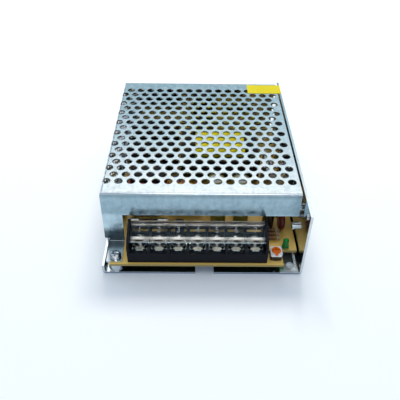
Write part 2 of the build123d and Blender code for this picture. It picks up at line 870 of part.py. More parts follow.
with BuildPart() as transformer_bobbin:
    # tube around the middle leg, with a flange at each end
    bobbin_length = core_window_x - 2 * bobbin_gap
    tube_plane = Plane((core_centre[0] - bobbin_length / 2, *core_centre[1:]), z_dir=(1, 0, 0))
    with BuildSketch(tube_plane):
        Rectangle(tube_outer[1], tube_outer[0])
        Rectangle(tube_inner[1], tube_inner[0], mode=Mode.SUBTRACT)
    extrude(amount=bobbin_length)
    for start in (0, bobbin_length - bobbin_flange):
        with BuildSketch(tube_plane.offset(start)):
            Rectangle(winding_size[2] + 2.4, core_window_y - 2 * bobbin_gap)
            Rectangle(tube_inner[1], tube_inner[0], mode=Mode.SUBTRACT)
        extrude(amount=bobbin_flange)
    # rails that stand on the board under the yokes
    rail_top = core_centre[2] - core_size[2] / 2 - 0.1
    rail_reach = core_window_y / 2 - bobbin_gap
    pin_steps = [(i - (transformer_pins - 1) / 2) * transformer_pin_pitch for i in range(transformer_pins)]
    for side in (-1, 1):
        inner_x = core_centre[0] + side * (bobbin_length / 2 - bobbin_flange)
        outer_x = core_centre[0] + side * core_size[0] / 2
        block(
            (min(inner_x, outer_x), max(inner_x, outer_x)),
            (core_centre[1] - rail_reach, core_centre[1] + rail_reach), (board_top, rail_top),
        )
        flat_pins(
            [(outer_x - side * transformer_pin_inset, core_centre[1] + step) for step in pin_steps],
            board_top + 1,
        )
save(transformer_bobbin, "transformer_bobbin")

with BuildPart() as transformer_winding:
    with BuildSketch(Plane((core_centre[0] - winding_size[0] / 2, *core_centre[1:]), z_dir=(1, 0, 0))):
        RectangleRounded(winding_size[2], winding_size[1], winding_round)
        Rectangle(tube_outer[1] + 0.2, tube_outer[0] + 0.2, mode=Mode.SUBTRACT)
    extrude(amount=winding_size[0])
save(transformer_winding, "transformer_winding")

drive_xy = (left_face + 52.0, front_edge + 108.5)
drive_size = (16.0, 14.0, 14.0)
drive_pin_x = 6.0
drive_pin_y = 5.0
with BuildPart() as drive_transformer:
    with Locations((*drive_xy, board_top)):
        Box(*drive_size, align=BOTTOM)
    fillet(drive_transformer.edges().filter_by(Axis.Z), radius=1.0)
    fillet(drive_transformer.faces().sort_by(Axis.Z)[-1].edges(), radius=0.6)
    flat_pins(
        [
            (drive_xy[0] + i * drive_pin_x, drive_xy[1] + j * drive_pin_y)
            for i in (-1, 1) for j in (-1, 0, 1)
        ],
        board_top + 1,
    )
save(drive_transformer, "drive_transformer")


# Transistors clamped on the wall, with pads under them
with BuildPart() as wall_transistors:
    for y in device_y:
        block(
            (device_face, pad_face), (y - device_size[0] / 2, y + device_size[0] / 2),
            (device_bottom, device_bottom + device_size[1]),
        )
        flat_pins(
            [((device_face + pad_face) / 2, y + i * leg_pitch) for i in (-1, 0, 1)],
            device_bottom + 1,
        )
save(wall_transistors, "wall_transistors")

with BuildPart() as insulating_pads:
    for y in device_y:
        block(
            (pad_face, wall_inner),
            (y - device_size[0] / 2 - pad_margin, y + device_size[0] / 2 + pad_margin),
            (device_bottom - pad_margin, device_bottom + device_size[1] + pad_margin),
        )
save(insulating_pads, "insulating_pads")

clamp_seats = [Plane((clamp_face, y, clamp_bar_z), z_dir=(-1, 0, 0)) for y in device_pair_y]
with BuildPart() as clamp_bars:
    for y in device_pair_y:
        block(
            (clamp_face, device_face), (y - clamp_bar_size[0] / 2, y + clamp_bar_size[0] / 2),
            (clamp_bar_z - clamp_bar_size[1] / 2, clamp_bar_z + clamp_bar_size[1] / 2),
        )
    fillet(clamp_bars.edges().filter_by(Axis.X), radius=1.0)
    with Locations(*clamp_seats):
        Cylinder(screw_hole_radius, 4 * clamp_bar_size[2], mode=Mode.SUBTRACT)
save(clamp_bars, "clamp_bars")

with BuildPart() as clamp_screws:
    for seat in clamp_seats:
        pan_screw(
            seat, *wall_screw_head, wall_screw_radius, right_face - clamp_face - wall_screw_short
        )
save(clamp_screws, "clamp_screws")


# Output rectifier screwed to a folded heatsink that stands on the board
heatsink_sheet = 1.6
heatsink_x = right_face - 15.8
heatsink_front = front_edge + 43.5
heatsink_length = 21.0
heatsink_fold = 7.0
heatsink_bottom = board_top + 1.3
heatsink_height = 21.5
rectifier_y = heatsink_front + 12.0
rectifier_tab = 1.3
rectifier_body = (4.4, 10.0, 9.2)
rectifier_bottom = board_top + 6.5
rectifier_tab_height = 6.4

heatsink_face = heatsink_x + heatsink_sheet
rectifier_top = rectifier_bottom + rectifier_body[2]
rectifier_seat = Plane(
    (heatsink_face + rectifier_tab, rectifier_y, rectifier_top + rectifier_tab_height / 2 + 0.2),
    z_dir=(1, 0, 0),
)

with BuildPart() as output_heatsink:
    with BuildSketch(Plane.XY.offset(heatsink_bottom)):
        with BuildLine():
            FilletPolyline(
                (heatsink_face + heatsink_fold, heatsink_front + heatsink_sheet / 2),
                (heatsink_x + heatsink_sheet / 2, heatsink_front + heatsink_sheet / 2),
                (heatsink_x + heatsink_sheet / 2, heatsink_front + heatsink_length),
                radius=heatsink_sheet,
            )
        trace(line_width=heatsink_sheet)
    extrude(amount=heatsink_height)
    flat_pins(
        [(heatsink_x + heatsink_sheet / 2, heatsink_front + t * heatsink_length) for t in (0.25, 0.85)],
        heatsink_bottom + 1, 0.9, 0.9,
    )
    with Locations(rectifier_seat):
        Cylinder(case_screw_radius + screw_clearance, 8, mode=Mode.SUBTRACT)
save(output_heatsink, "output_heatsink")

with BuildPart() as output_rectifier:
    block(
        (heatsink_face, heatsink_face + rectifier_body[0]),
        (rectifier_y - rectifier_body[1] / 2, rectifier_y + rectifier_body[1] / 2),
        (rectifier_bottom, rectifier_top),
    )
    chamfer(output_rectifier.faces().sort_by(Axis.X)[-1].edges(), 0.4)
    block(
        (heatsink_face, heatsink_face + rectifier_tab),
        (rectifier_y - rectifier_body[1] / 2, rectifier_y + rectifier_body[1] / 2),
        (rectifier_top - 1, rectifier_top + rectifier_tab_height),
    )
    with Locations(rectifier_seat):
        Cylinder(screw_hole_radius, 4 * rectifier_tab, mode=Mode.SUBTRACT)
    flat_pins(
        [(heatsink_face + 2.4, rectifier_y + i * leg_pitch) for i in (-1, 0, 1)],
        rectifier_bottom + 1,
    )
save(output_rectifier, "output_rectifier")

with BuildPart() as rectifier_screw:
    pan_screw(
        rectifier_seat, *wall_screw_head, case_screw_radius, rectifier_tab + heatsink_sheet + 0.8
    )
save(rectifier_screw, "rectifier_screw")


# Output choke: an upright ring core with its winding open at the foot
ring_centre = (left_face + 41.0, front_edge + 37.5, board_top + 10.4)
ring_radii = (4.5, 8.5)
ring_half = 3.5
ring_wire = 1.3
ring_gap = 0.12
ring_open = 60.0

with BuildPart() as output_choke_core:
    turned(
        Plane(ring_centre, z_dir=(0, 1, 0)),
        (ring_radii[0], -ring_half), (ring_radii[1], -ring_half),
        (ring_radii[1], ring_half), (ring_radii[0], ring_half),
    )
    fillet(output_choke_core.edges().filter_by(GeomType.CIRCLE), radius=0.5)
save(output_choke_core, "output_choke_core")

with BuildPart() as output_choke_winding:
    foot = Axis(ring_centre, (0, 1, 0))
    start = Vector(0, 0, -1).rotate(foot, ring_open / 2)
    with BuildSketch(Plane(ring_centre, x_dir=start, z_dir=start.cross(Vector(0, 1, 0)))):
        with Locations(((ring_radii[0] + ring_radii[1]) / 2, 0)):
            grow = 2 * (ring_gap + ring_wire)
            RectangleRounded(ring_radii[1] - ring_radii[0] + grow, 2 * ring_half + grow, 1.2)
            Rectangle(
                ring_radii[1] - ring_radii[0] + 2 * ring_gap, 2 * (ring_half + ring_gap),
                mode=Mode.SUBTRACT,
            )
    revolve(axis=foot, revolution_arc=360 - ring_open)
    wire_leads(
        [(ring_centre[0] + side * 6.5, ring_centre[1] + 4.2) for side in (-1, 1)],
        ring_centre[2] - 5.5,
    )
save(output_choke_winding, "output_choke_winding")

# cans are given as radius, height and lead spacing
output_can_size = (5.0, 20.5, 5.0)
output_can_y = front_edge + 42.0
small_can_size = (4.0, 12.0, 3.5)
small_can_y = front_edge + 26.5
filter_can_size = (3.15, 11.0, 2.5)
film_size = (4.5, 3.0, 5.0)
with BuildPart() as output_capacitors:
    for x in (left_face + 57.3, left_face + 70.5):
        upright_can(x, output_can_y, *output_can_size)
    for x in (left_face + 58.0, left_face + 70.0):
        upright_can(x, small_can_y, *small_can_size)
save(output_capacitors, "output_capacitors")

with BuildPart() as filter_capacitor:
    upright_can(right_face - 15.2, front_edge + 27.6, *filter_can_size)
save(filter_capacitor, "filter_capacitor")

with BuildPart() as film_capacitor:
    disc_part(right_face - 8.7, front_edge + 25.0, *film_size)
save(film_capacitor, "film_capacitor")

resistor_x = right_face - 14.4
resistor_length = 6.0
resistor_radius = 1.15
resistor_waist = 0.95
resistor_lead_run = 1.2
resistor_z = board_top + 1.4
with BuildPart() as signal_resistors:
    for y in (front_edge + 17.2, front_edge + 20.0, front_edge + 22.8):
        turned(
            Plane((resistor_x - resistor_length / 2, y, resistor_z), z_dir=(1, 0, 0)),
            (0, 0), (resistor_waist, 0), (resistor_radius, 0.3), (resistor_radius, 1.2),
            (resistor_waist, 1.6), (resistor_waist, resistor_length - 1.6),
            (resistor_radius, resistor_length - 1.2), (resistor_radius, resistor_length - 0.3),
            (resistor_waist, resistor_length), (0, resistor_length),
        )
        for side in (-1, 1):
            axial_lead(
                resistor_x + side * resistor_length / 2, y, resistor_z, side * resistor_lead_run
            )
save(signal_resistors, "signal_resistors")


# Parts at the front right corner: pilot light and voltage trimmer
led_xy = (right_face - 7.7, front_edge + 11.6)
led_radius = 1.5
led_bottom = board_top + 1.0
led_straight = 3.9
with BuildPart() as power_led:
    with Locations((*led_xy, led_bottom)):
        Cylinder(led_radius + 0.3, 0.7, align=BOTTOM)
        Cylinder(led_radius, led_straight, align=BOTTOM)
    with Locations((*led_xy, led_bottom + led_straight)):
        Sphere(led_radius)
    flat_pins([(led_xy[0] + side * leg_pitch / 2, led_xy[1]) for side in (-1, 1)],
              led_bottom + 0.5, 0.5, 0.5)
save(power_led, "power_led")

trimmer_xy = (right_face - 13.4, front_edge + 5.6)
trimmer_size = (5.8, 5.8, 4.3)
trimmer_rotor_radius = 2.3
trimmer_floor = board_top + 1.0
trimmer_rotor_top = board_top + 4.8
with BuildPart() as trimmer_body:
    with Locations((*trimmer_xy, board_top)):
        Box(*trimmer_size, align=BOTTOM)
    chamfer(trimmer_body.edges().filter_by(Axis.Z), 0.6)
    with Locations((*trimmer_xy, trimmer_floor)):
        Cylinder(
            trimmer_rotor_radius + running_clearance, trimmer_size[2], align=BOTTOM,
            mode=Mode.SUBTRACT,
        )
    # a stop notch in the front edge
    block(
        (trimmer_xy[0] - 0.8, trimmer_xy[0] + 0.8), (trimmer_xy[1] - 4, trimmer_xy[1]),
        (board_top + trimmer_size[2] - 1.2, board_top + trimmer_size[2] + 1), mode=Mode.SUBTRACT,
    )
    flat_pins(
        [
            (trimmer_xy[0] - leg_pitch, trimmer_xy[1] + 2.6),
            (trimmer_xy[0] + leg_pitch, trimmer_xy[1] + 2.6),
            (trimmer_xy[0], trimmer_xy[1] - 2.4),
        ],
        trimmer_floor - 0.3, 0.6, 0.3,
    )
save(trimmer_body, "trimmer_body")

with BuildPart() as trimmer_rotor:
    with Locations((*trimmer_xy, trimmer_floor)):
        Cylinder(trimmer_rotor_radius, trimmer_rotor_top - trimmer_floor, align=BOTTOM)
    chamfer(trimmer_rotor.edges().filter_by(GeomType.CIRCLE).group_by(Axis.Z)[-1], 0.25)
    with Locations((*trimmer_xy, trimmer_rotor_top)):
        Box(3.4, 0.7, 1.6, mode=Mode.SUBTRACT)
        Box(0.7, 3.4, 1.6, mode=Mode.SUBTRACT)
save(trimmer_rotor, "trimmer_rotor")


# Control chip and optocoupler
control_chip_size = (19.3, 6.4, 3.4)
optocoupler_size = (4.6, 6.4, 3.5)
with BuildPart() as control_chip:
    dual_row_part(right_face - 24.0, front_edge + 108.5, control_chip_size, 16)
save(control_chip, "control_chip")

with BuildPart() as optocoupler:
    dual_row_part(left_face + 38.0, front_edge + 24.5, optocoupler_size, 4)
save(optocoupler, "optocoupler")


# Circuit board, drilled for every lead, pin and screw
with BuildPart() as circuit_board:
    with BuildSketch(Plane.XY.offset(board_bottom)):
        with BuildLine():
            Polyline(
                (board_left, front_edge), (board_right - corner_cut_x, front_edge),
                (board_right - corner_cut_x, front_edge + corner_cut_y),
                (board_right, front_edge + corner_cut_y), (board_right, board_rear),
                (board_left, board_rear), close=True,
            )
        make_face()
        with Locations(*standoff_xy):
            Circle(screw_hole_radius, mode=Mode.SUBTRACT)
        with Locations(*lead_points):
            Circle(lead_hole_radius, mode=Mode.SUBTRACT)
        with Locations(*pin_points):
            Circle(pin_hole_radius, mode=Mode.SUBTRACT)
    extrude(amount=board_thickness)
save(circuit_board, "circuit_board")
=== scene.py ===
from math import cos, pi, radians, sin

import bmesh
import bpy
import numpy as np
from mathutils import Matrix, Vector


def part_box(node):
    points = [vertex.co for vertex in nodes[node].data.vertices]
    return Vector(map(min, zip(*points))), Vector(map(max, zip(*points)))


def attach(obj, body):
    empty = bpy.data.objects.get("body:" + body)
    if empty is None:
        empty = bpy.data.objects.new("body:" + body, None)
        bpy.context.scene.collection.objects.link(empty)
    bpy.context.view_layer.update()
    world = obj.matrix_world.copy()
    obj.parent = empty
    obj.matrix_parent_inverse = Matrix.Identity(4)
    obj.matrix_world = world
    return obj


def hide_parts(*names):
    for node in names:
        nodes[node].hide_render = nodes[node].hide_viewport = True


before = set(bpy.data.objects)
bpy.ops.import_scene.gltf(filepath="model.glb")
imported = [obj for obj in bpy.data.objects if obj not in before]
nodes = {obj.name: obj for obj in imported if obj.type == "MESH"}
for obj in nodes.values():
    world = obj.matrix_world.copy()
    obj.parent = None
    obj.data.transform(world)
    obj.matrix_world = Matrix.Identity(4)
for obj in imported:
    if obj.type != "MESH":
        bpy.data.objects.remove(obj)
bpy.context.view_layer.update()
mm = 0.001
print("frame: loaded", len(nodes), "pieces")


# colours are written as they look on a screen, from 0 to 255, and turned into light by the screen's own curve:
# a straight foot, then a power
def tone(red, green, blue, alpha=1.0):
    channels = np.array([red, green, blue]) / 255
    linear = np.where(channels <= 0.04045, channels / 12.92, ((channels + 0.055) / 1.055) ** 2.4)
    return (*[float(c) for c in linear], alpha)


def middle(node):
    low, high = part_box(node)
    return (low + high) / 2


def addToScene(name, data):
    holder = bpy.data.objects.new(name, data)
    bpy.context.scene.collection.objects.link(holder)
    return holder


# camera, lamps and floor
cameraSetup = {
    "place": (-4.433 * mm, -216.278 * mm, 186.187 * mm),
    "pitch": 41.92,      # degrees below level
    "turn": -0.940,
    "roll": 1.094,
    "lens": 42.39,       # focal length and width of the sensor, in mm
    "sensor": 36.0,
    "nearest": 5 * mm,
    "farthest": 20000 * mm,
}


def addCamera(setup):
    camera = bpy.data.cameras.new("photoCamera")
    camera.lens = setup["lens"]
    camera.sensor_width = setup["sensor"]
    camera.clip_start = setup["nearest"]
    camera.clip_end = setup["farthest"]
    holder = addToScene("photoCamera", camera)
    holder.matrix_world = (
        Matrix.Translation(setup["place"])
        @ Matrix.Rotation(radians(setup["turn"]), 4, "Z")
        @ Matrix.Rotation(radians(90 - setup["pitch"]), 4, "X")
        @ Matrix.Rotation(radians(setup["roll"]), 4, "Z")
    )
    bpy.context.scene.camera = holder


# name: place, size, power in watts, tint, whether it lights matt surfaces, whether it shows in gloss
lampSetup = {
    "highBack": ((0.02, 0.60, 0.70), (0.36, 0.17), 4.8, (1.0, 0.94, 0.83), True, False),
    "softTop": ((-0.12, -0.05, 0.85), (0.8, 0.6), 0.3, (1.0, 0.99, 0.97), True, True),
    "glintFront": ((0.04, -0.62, 0.60), (0.34, 0.20), 0.9, (1.0, 0.98, 0.95), False, True),
}
lampAim = (0, 0, 0.02)    # about the middle of the case


def addLamps(setup):
    for name, (place, size, power, tint, lit, mirrored) in setup.items():
        lamp = bpy.data.lights.new(name, "AREA")
        lamp.shape = "RECTANGLE"
        lamp.size, lamp.size_y = size
        lamp.energy = power
        lamp.color = tint
        holder = addToScene(name, lamp)
        holder.visible_diffuse = lit
        holder.visible_glossy = mirrored
        turn = (Vector(lampAim) - Vector(place)).to_track_quat("-Z", "Y")
        holder.matrix_world = Matrix.Translation(place) @ turn.to_matrix().to_4x4()


worldSetup = {
    "strength": 1.0,
    # height above the horizon as its sine, then the colour there
    "room": [
        (0.00, (0.80, 0.85, 0.92)), (0.18, (0.80, 0.85, 0.92)), (0.34, (0.30, 0.38, 0.50)),
        (0.80, (0.34, 0.42, 0.55)), (0.93, (0.95, 1.00, 1.05)), (1.00, (1.10, 1.14, 1.16)),
    ],
    # the flat top mirrors this wall, from 0.47 at its rear edge to 0.65 at the front fold
    "rearWall": [
        (0.00, (0.92, 0.95, 1.00)), (0.20, (0.90, 0.94, 1.00)), (0.32, (0.24, 0.40, 0.50)),
        (0.464, (0.24, 0.42, 0.52)), (0.486, (0.56, 0.78, 0.88)), (0.515, (0.54, 0.78, 0.91)),
        (0.556, (0.62, 0.86, 0.93)), (0.598, (0.93, 1.09, 1.19)), (0.632, (1.02, 1.14, 1.17)),
        (0.652, (1.75, 1.82, 1.82)), (0.80, (1.70, 1.74, 1.74)), (0.92, (0.95, 1.00, 1.05)),
    ],
    # how far a direction turns to the rear where it begins to meet that wall, and where it meets it wholly
    "rearFrom": 0.34,
    "rearTo": 0.62,
}


def feed(tree, socket, value):
    # a socket takes another node's output, or else a plain value
    if isinstance(value, bpy.types.NodeSocket):
        tree.links.new(value, socket)
    else:
        socket.default_value = value


def mixColour(tree, share, first, second, blend="MIX"):
    # sockets 0, 6 and 7 of a colour mix are its share and its two colours
    node = tree.nodes.new("ShaderNodeMix")
    node.data_type = "RGBA"
    node.blend_type = blend
    for number, value in ((0, share), (6, first), (7, second)):
        feed(tree, node.inputs[number], value)
    return node.outputs[2]


def rampNode(tree, stops, along):
    ramp = tree.nodes.new("ShaderNodeValToRGB")
    while len(ramp.color_ramp.elements) < len(stops):
        ramp.color_ramp.elements.new(0.5)
    for element, (place, colour) in zip(ramp.color_ramp.elements, stops):
        element.position = place
        element.color = (*colour, 1.0)
    feed(tree, ramp.inputs[0], along)
    return ramp


def spanNode(tree, value, low, high, interpolation="LINEAR"):
    # a value's share of the way from low to high
    span = tree.nodes.new("ShaderNodeMapRange")
    span.interpolation_type = interpolation
    span.inputs["From Min"].default_value = low
    span.inputs["From Max"].default_value = high
    feed(tree, span.inputs["Value"], value)
    return span.outputs["Result"]


def splitNode(tree, vector):
    split = tree.nodes.new("ShaderNodeSeparateXYZ")
    feed(tree, split.inputs[0], vector)
    return split.outputs


def addWorld(setup):
    # one surrounding light: pale all round near the horizon, and a brighter wall high at the rear
    world = bpy.data.worlds.new("studio")
    bpy.context.scene.world = world
    world.use_nodes = True
    tree = world.node_tree
    tree.nodes.clear()
    out = tree.nodes.new("ShaderNodeOutputWorld")
    shade = tree.nodes.new("ShaderNodeBackground")
    shade.inputs["Strength"].default_value = setup["strength"]
    direction = splitNode(tree, tree.nodes.new("ShaderNodeTexCoord").outputs["Generated"])
    room = rampNode(tree, setup["room"], direction["Z"]).outputs["Color"]
    rear = rampNode(tree, setup["rearWall"], direction["Z"]).outputs["Color"]
    turn = spanNode(tree, direction["Y"], setup["rearFrom"], setup["rearTo"], "SMOOTHSTEP")
    feed(tree, shade.inputs["Color"], mixColour(tree, turn, room, rear))
    tree.links.new(shade.outputs[0], out.inputs[0])


floorSetup = {
    "half": 3.0,    # from the middle to each side, far enough for every view
    "colour": tone(246, 249, 252),
    "rough": 0.6,
    "shine": 0.2,
}


def addFloor(setup):
    half = setup["half"]
    mesh = bpy.data.meshes.new("floor")
    mesh.from_pydata([(-half, -half, 0), (half, -half, 0), (half, half, 0), (-half, half, 0)], [], [(0, 1, 2, 3)])
    floor = addToScene("floor", mesh)
    sheet = bpy.data.materials.new("whiteTable")
    sheet.use_nodes = True
    surface = sheet.node_tree.nodes["Principled BSDF"]
    surface.inputs["Base Color"].default_value = setup["colour"]
    surface.inputs["Roughness"].default_value = setup["rough"]
    surface.inputs["Specular IOR Level"].default_value = setup["shine"]
    floor.data.materials.append(sheet)


addCamera(cameraSetup)
addLamps(lampSetup)
addWorld(worldSetup)
addFloor(floorSetup)
bpy.context.scene.view_settings.view_transform = "Standard"
print("studio: camera, lamps, floor")


# shader groups: each puts out colours, masks and heights, used by many materials
colourKind, valueKind, vectorKind = "NodeSocketColor", "NodeSocketFloat", "NodeSocketVector"


def newGroup(name, inputs, outputs):
    # inputs are label, kind and usual value; outputs are label and kind
    group = bpy.data.node_groups.new(name, "ShaderNodeTree")
    for label, kind, value in inputs:
        socket = group.interface.new_socket(name=label, in_out="INPUT", socket_type=kind)
        socket.default_value = value
    for label, kind in outputs:
        group.interface.new_socket(name=label, in_out="OUTPUT", socket_type=kind)
    start = group.nodes.new("NodeGroupInput").outputs
    end = group.nodes.new("NodeGroupOutput").inputs
    return group, start, end


def mathNode(tree, operation, *values, clamp=False):
    node = tree.nodes.new("ShaderNodeMath")
    node.operation = operation
    node.use_clamp = clamp
    for socket, value in zip(node.inputs, values):
        feed(tree, socket, value)
    return node.outputs[0]


def plus(tree, first, second, clamp=False):
    return mathNode(tree, "ADD", first, second, clamp=clamp)


def times(tree, first, second, clamp=False):
    return mathNode(tree, "MULTIPLY", first, second, clamp=clamp)


def objectPlace(tree):
    return tree.nodes.new("ShaderNodeTexCoord").outputs["Object"]


def alongNode(tree, direction):
    # how far a place lies along a direction
    along = tree.nodes.new("ShaderNodeVectorMath")
    along.operation = "DOT_PRODUCT"
    tree.links.new(objectPlace(tree), along.inputs[0])
    feed(tree, along.inputs[1], direction)
    return along.outputs["Value"]


def noiseNode(tree, scale, detail=3.0):
    # a plain scale gives even clouds, and three of them stretch the clouds along the axes
    place = objectPlace(tree)
    if isinstance(scale, tuple):
        mapping = tree.nodes.new("ShaderNodeMapping")
        mapping.inputs["Scale"].default_value = scale
        tree.links.new(place, mapping.inputs["Vector"])
        place, scale = mapping.outputs[0], 1.0
    noise = tree.nodes.new("ShaderNodeTexNoise")
    noise.inputs["Detail"].default_value = detail
    tree.links.new(place, noise.inputs["Vector"])
    feed(tree, noise.inputs["Scale"], scale)
    return noise.outputs["Fac"]


def spreadRoughness(group, start, uneven):
    # the middle roughness, plus the unevenness times its spread
    return plus(group, times(group, uneven, start["Spread"]), start["Roughness"], clamp=True)


mouldedShares = {
    "contrast": 1.6,       # how sharply the two colours part, and from what level of the noise
    "offset": -0.3,
    "patchRelief": 0.3,    # what the patches add to the relief of the grain
}


def buildMoulded(shares):
    # colour, sheen and fine relief of moulded, dipped and lacquered surfaces
    group, start, end = newGroup(
        "mouldedSurface",
        [("Colour", colourKind, (0.5, 0.5, 0.5, 1)), ("Second", colourKind, (0.4, 0.4, 0.4, 1)),
         ("Patch Scale", valueKind, 120.0), ("Grain Scale", valueKind, 2500.0),
         ("Roughness", valueKind, 0.4), ("Spread", valueKind, 0.12)],
        [("Colour", colourKind), ("Roughness", valueKind), ("Height", valueKind)],
    )
    patches = noiseNode(group, start["Patch Scale"])
    grain = noiseNode(group, start["Grain Scale"], 2.0)
    share = mathNode(group, "MULTIPLY_ADD", patches, shares["contrast"], shares["offset"], clamp=True)
    feed(group, end["Colour"], mixColour(group, share, start["Colour"], start["Second"]))
    # both noises are 0.5 on average, so their sum less one is even on both sides
    uneven = mathNode(group, "SUBTRACT", plus(group, patches, grain), 1.0)
    feed(group, end["Roughness"], spreadRoughness(group, start, uneven))
    feed(group, end["Height"], plus(group, times(group, patches, shares["patchRelief"]), grain))
    return group


sheetShares = {
    "lines": (2600.0, 60.0, 260.0),      # rolling lines, drawn out from front to rear
    "smears": 34.0,
    "streaks": (520.0, 90.0, 150.0),
    "spots": 480.0,
    "spangleTint": 0.35,                 # what brings in the second colour
    "smearTint": 0.75,
    "streakDark": 1.4,                   # what darkens, and the level it starts from
    "spotDark": 1.6,
    "darkFrom": 1.15,
    "soot": (0.02, 0.025, 0.03, 1.0),
    "lineRough": 0.8,                    # what roughens, and its middle
    "spangleRough": 0.5,
    "roughMiddle": 0.65,
    "spangleRelief": 0.25,
}


def buildSheetMetal(shares):
    # rolled zinc sheet: soft spangle, fine lines along the rolling, faint smears, drawn streaks and dull spots
    group, start, end = newGroup(
        "rolledSheet",
        [("Colour", colourKind, (0.7, 0.72, 0.74, 1)), ("Second", colourKind, (0.6, 0.63, 0.66, 1)),
         ("Spangle Scale", valueKind, 260.0), ("Roughness", valueKind, 0.28),
         ("Spread", valueKind, 0.14), ("Streaks", valueKind, 0.15)],
        [("Colour", colourKind), ("Roughness", valueKind), ("Height", valueKind)],
    )
    cells = group.nodes.new("ShaderNodeTexVoronoi")
    feed(group, cells.inputs["Vector"], objectPlace(group))
    feed(group, cells.inputs["Scale"], start["Spangle Scale"])
    spangle = group.nodes.new("ShaderNodeSeparateColor")
    feed(group, spangle.inputs[0], cells.outputs["Color"])
    spangleTint, spangleRough, spangleHeight = spangle.outputs[0], spangle.outputs[1], spangle.outputs[2]
    lines = noiseNode(group, shares["lines"], 4.0)
    smears = noiseNode(group, shares["smears"], 4.0)
    streaks = noiseNode(group, shares["streaks"], 5.0)
    spots = noiseNode(group, shares["spots"], 4.0)

    blend = plus(group, times(group, spangleTint, shares["spangleTint"]),
                 times(group, smears, shares["smearTint"]), clamp=True)
    sheet = mixColour(group, blend, start["Colour"], start["Second"])
    dark = plus(group, times(group, streaks, shares["streakDark"]), times(group, spots, shares["spotDark"]))
    dark = mathNode(group, "SUBTRACT", dark, shares["darkFrom"], clamp=True)
    share = times(group, dark, start["Streaks"])
    feed(group, end["Colour"], mixColour(group, share, sheet, shares["soot"]))

    uneven = plus(group, times(group, lines, shares["lineRough"]),
                  times(group, spangleRough, shares["spangleRough"]))
    uneven = mathNode(group, "SUBTRACT", uneven, shares["roughMiddle"])
    feed(group, end["Roughness"], spreadRoughness(group, start, uneven))
    feed(group, end["Height"], plus(group, lines, times(group, spangleHeight, shares["spangleRelief"])))
    return group


def buildBelow():
    # a mask that is 1 where a place along the given direction lies below a level
    group, start, end = newGroup(
        "belowLevel",
        [("Direction", vectorKind, (0, 0, 1)), ("Level", valueKind, 0.0)],
        [("Mask", valueKind)],
    )
    along = alongNode(group, start["Direction"])
    feed(group, end["Mask"], mathNode(group, "LESS_THAN", along, start["Level"]))
    return group


dustShares = {
    "specks": 1900.0,
    "clouds": 150.0,
    "least": 0.12,      # what stays on a surface that doesn't look up
    "gain": 4.0,
}


def buildDust(shares):
    # fine pale dust, thicker where a surface looks up
    group, start, end = newGroup(
        "settledDust",
        [("Colour", colourKind, (0.1, 0.1, 0.1, 1)), ("Dust", colourKind, (0.5, 0.5, 0.48, 1)),
         ("Amount", valueKind, 0.15)],
        [("Colour", colourKind)],
    )
    facing = splitNode(group, group.nodes.new("ShaderNodeNewGeometry").outputs["Normal"])
    up = mathNode(group, "MAXIMUM", facing["Z"], shares["least"])
    dust = times(group, noiseNode(group, shares["specks"], 4.0), noiseNode(group, shares["clouds"], 2.0))
    amount = times(group, dust, start["Amount"])
    mask = times(group, amount, times(group, up, shares["gain"]), clamp=True)
    feed(group, end["Colour"], mixColour(group, mask, start["Colour"], start["Dust"]))
    return group


groups = {
    "moulded": buildMoulded(mouldedShares),
    "sheet": buildSheetMetal(sheetShares),
    "below": buildBelow(),
    "dust": buildDust(dustShares),
}
print("groups: built", len(groups))


# materials: each is made from a look, which names what differs from the usual one
usualLook = {
    "surface": "moulded", "rough": 0.4, "spread": 0.12, "relief": 0.15, "depth": 0.02, "metal": 0.0,
    "coat": 0.0, "coatRough": 0.08, "ior": 1.5, "shine": 0.5, "bandShare": 1.0, "bandBlend": "MIX",
}
surfaceInputs = {
    "colour": "Colour", "second": "Second", "rough": "Roughness", "spread": "Spread", "patch": "Patch Scale",
    "grain": "Grain Scale", "spangle": "Spangle Scale", "streaks": "Streaks",
}
shaderInputs = {
    "metal": "Metallic", "coat": "Coat Weight", "coatRough": "Coat Roughness", "ior": "IOR",
    "shine": "Specular IOR Level",
}
leadMetal = {"colour": tone(205, 205, 200), "rough": 0.28}
veilShares = {
    "streaks": (330.0, 900.0, 900.0),
    "gain": 0.9,         # how much the streaks change the veil, and what it keeps without them
    "least": 0.5,
}


def groupNode(tree, kind, values):
    node = tree.nodes.new("ShaderNodeGroup")
    node.node_tree = groups[kind]
    for label, value in values.items():
        feed(tree, node.inputs[label], value)
    return node.outputs


def alongRamp(tree, direction, stops, interpolation="LINEAR"):
    # a colour for each distance along a direction, with the distances given in mm
    low, high = stops[0][0], stops[-1][0]
    share = spanNode(tree, alongNode(tree, direction), low * mm, high * mm)
    ramp = rampNode(tree, [((distance - low) / (high - low), colour) for distance, colour in stops], share)
    ramp.color_ramp.interpolation = interpolation
    return ramp.outputs["Color"]


def addVeil(tree, look):
    # what shows of a thin painted highlight strip: a share by height, times drawn streaks, times a wave that is
    # fuller over each pole
    stops = [(height, (share, share, share)) for height, share in look["veil"]]
    streaks = noiseNode(tree, veilShares["streaks"])
    uneven = plus(tree, times(tree, streaks, veilShares["gain"]), veilShares["least"])
    first, pitch, share = look["poles"]
    fromPole = mathNode(tree, "SUBTRACT", splitNode(tree, objectPlace(tree))["X"], first)
    wave = mathNode(tree, "COSINE", times(tree, fromPole, 2 * pi / pitch))
    uneven = times(tree, uneven, plus(tree, times(tree, wave, share), 1.0 - share / 2))
    return times(tree, alongRamp(tree, (0, 0, 1), stops), uneven, clamp=True)


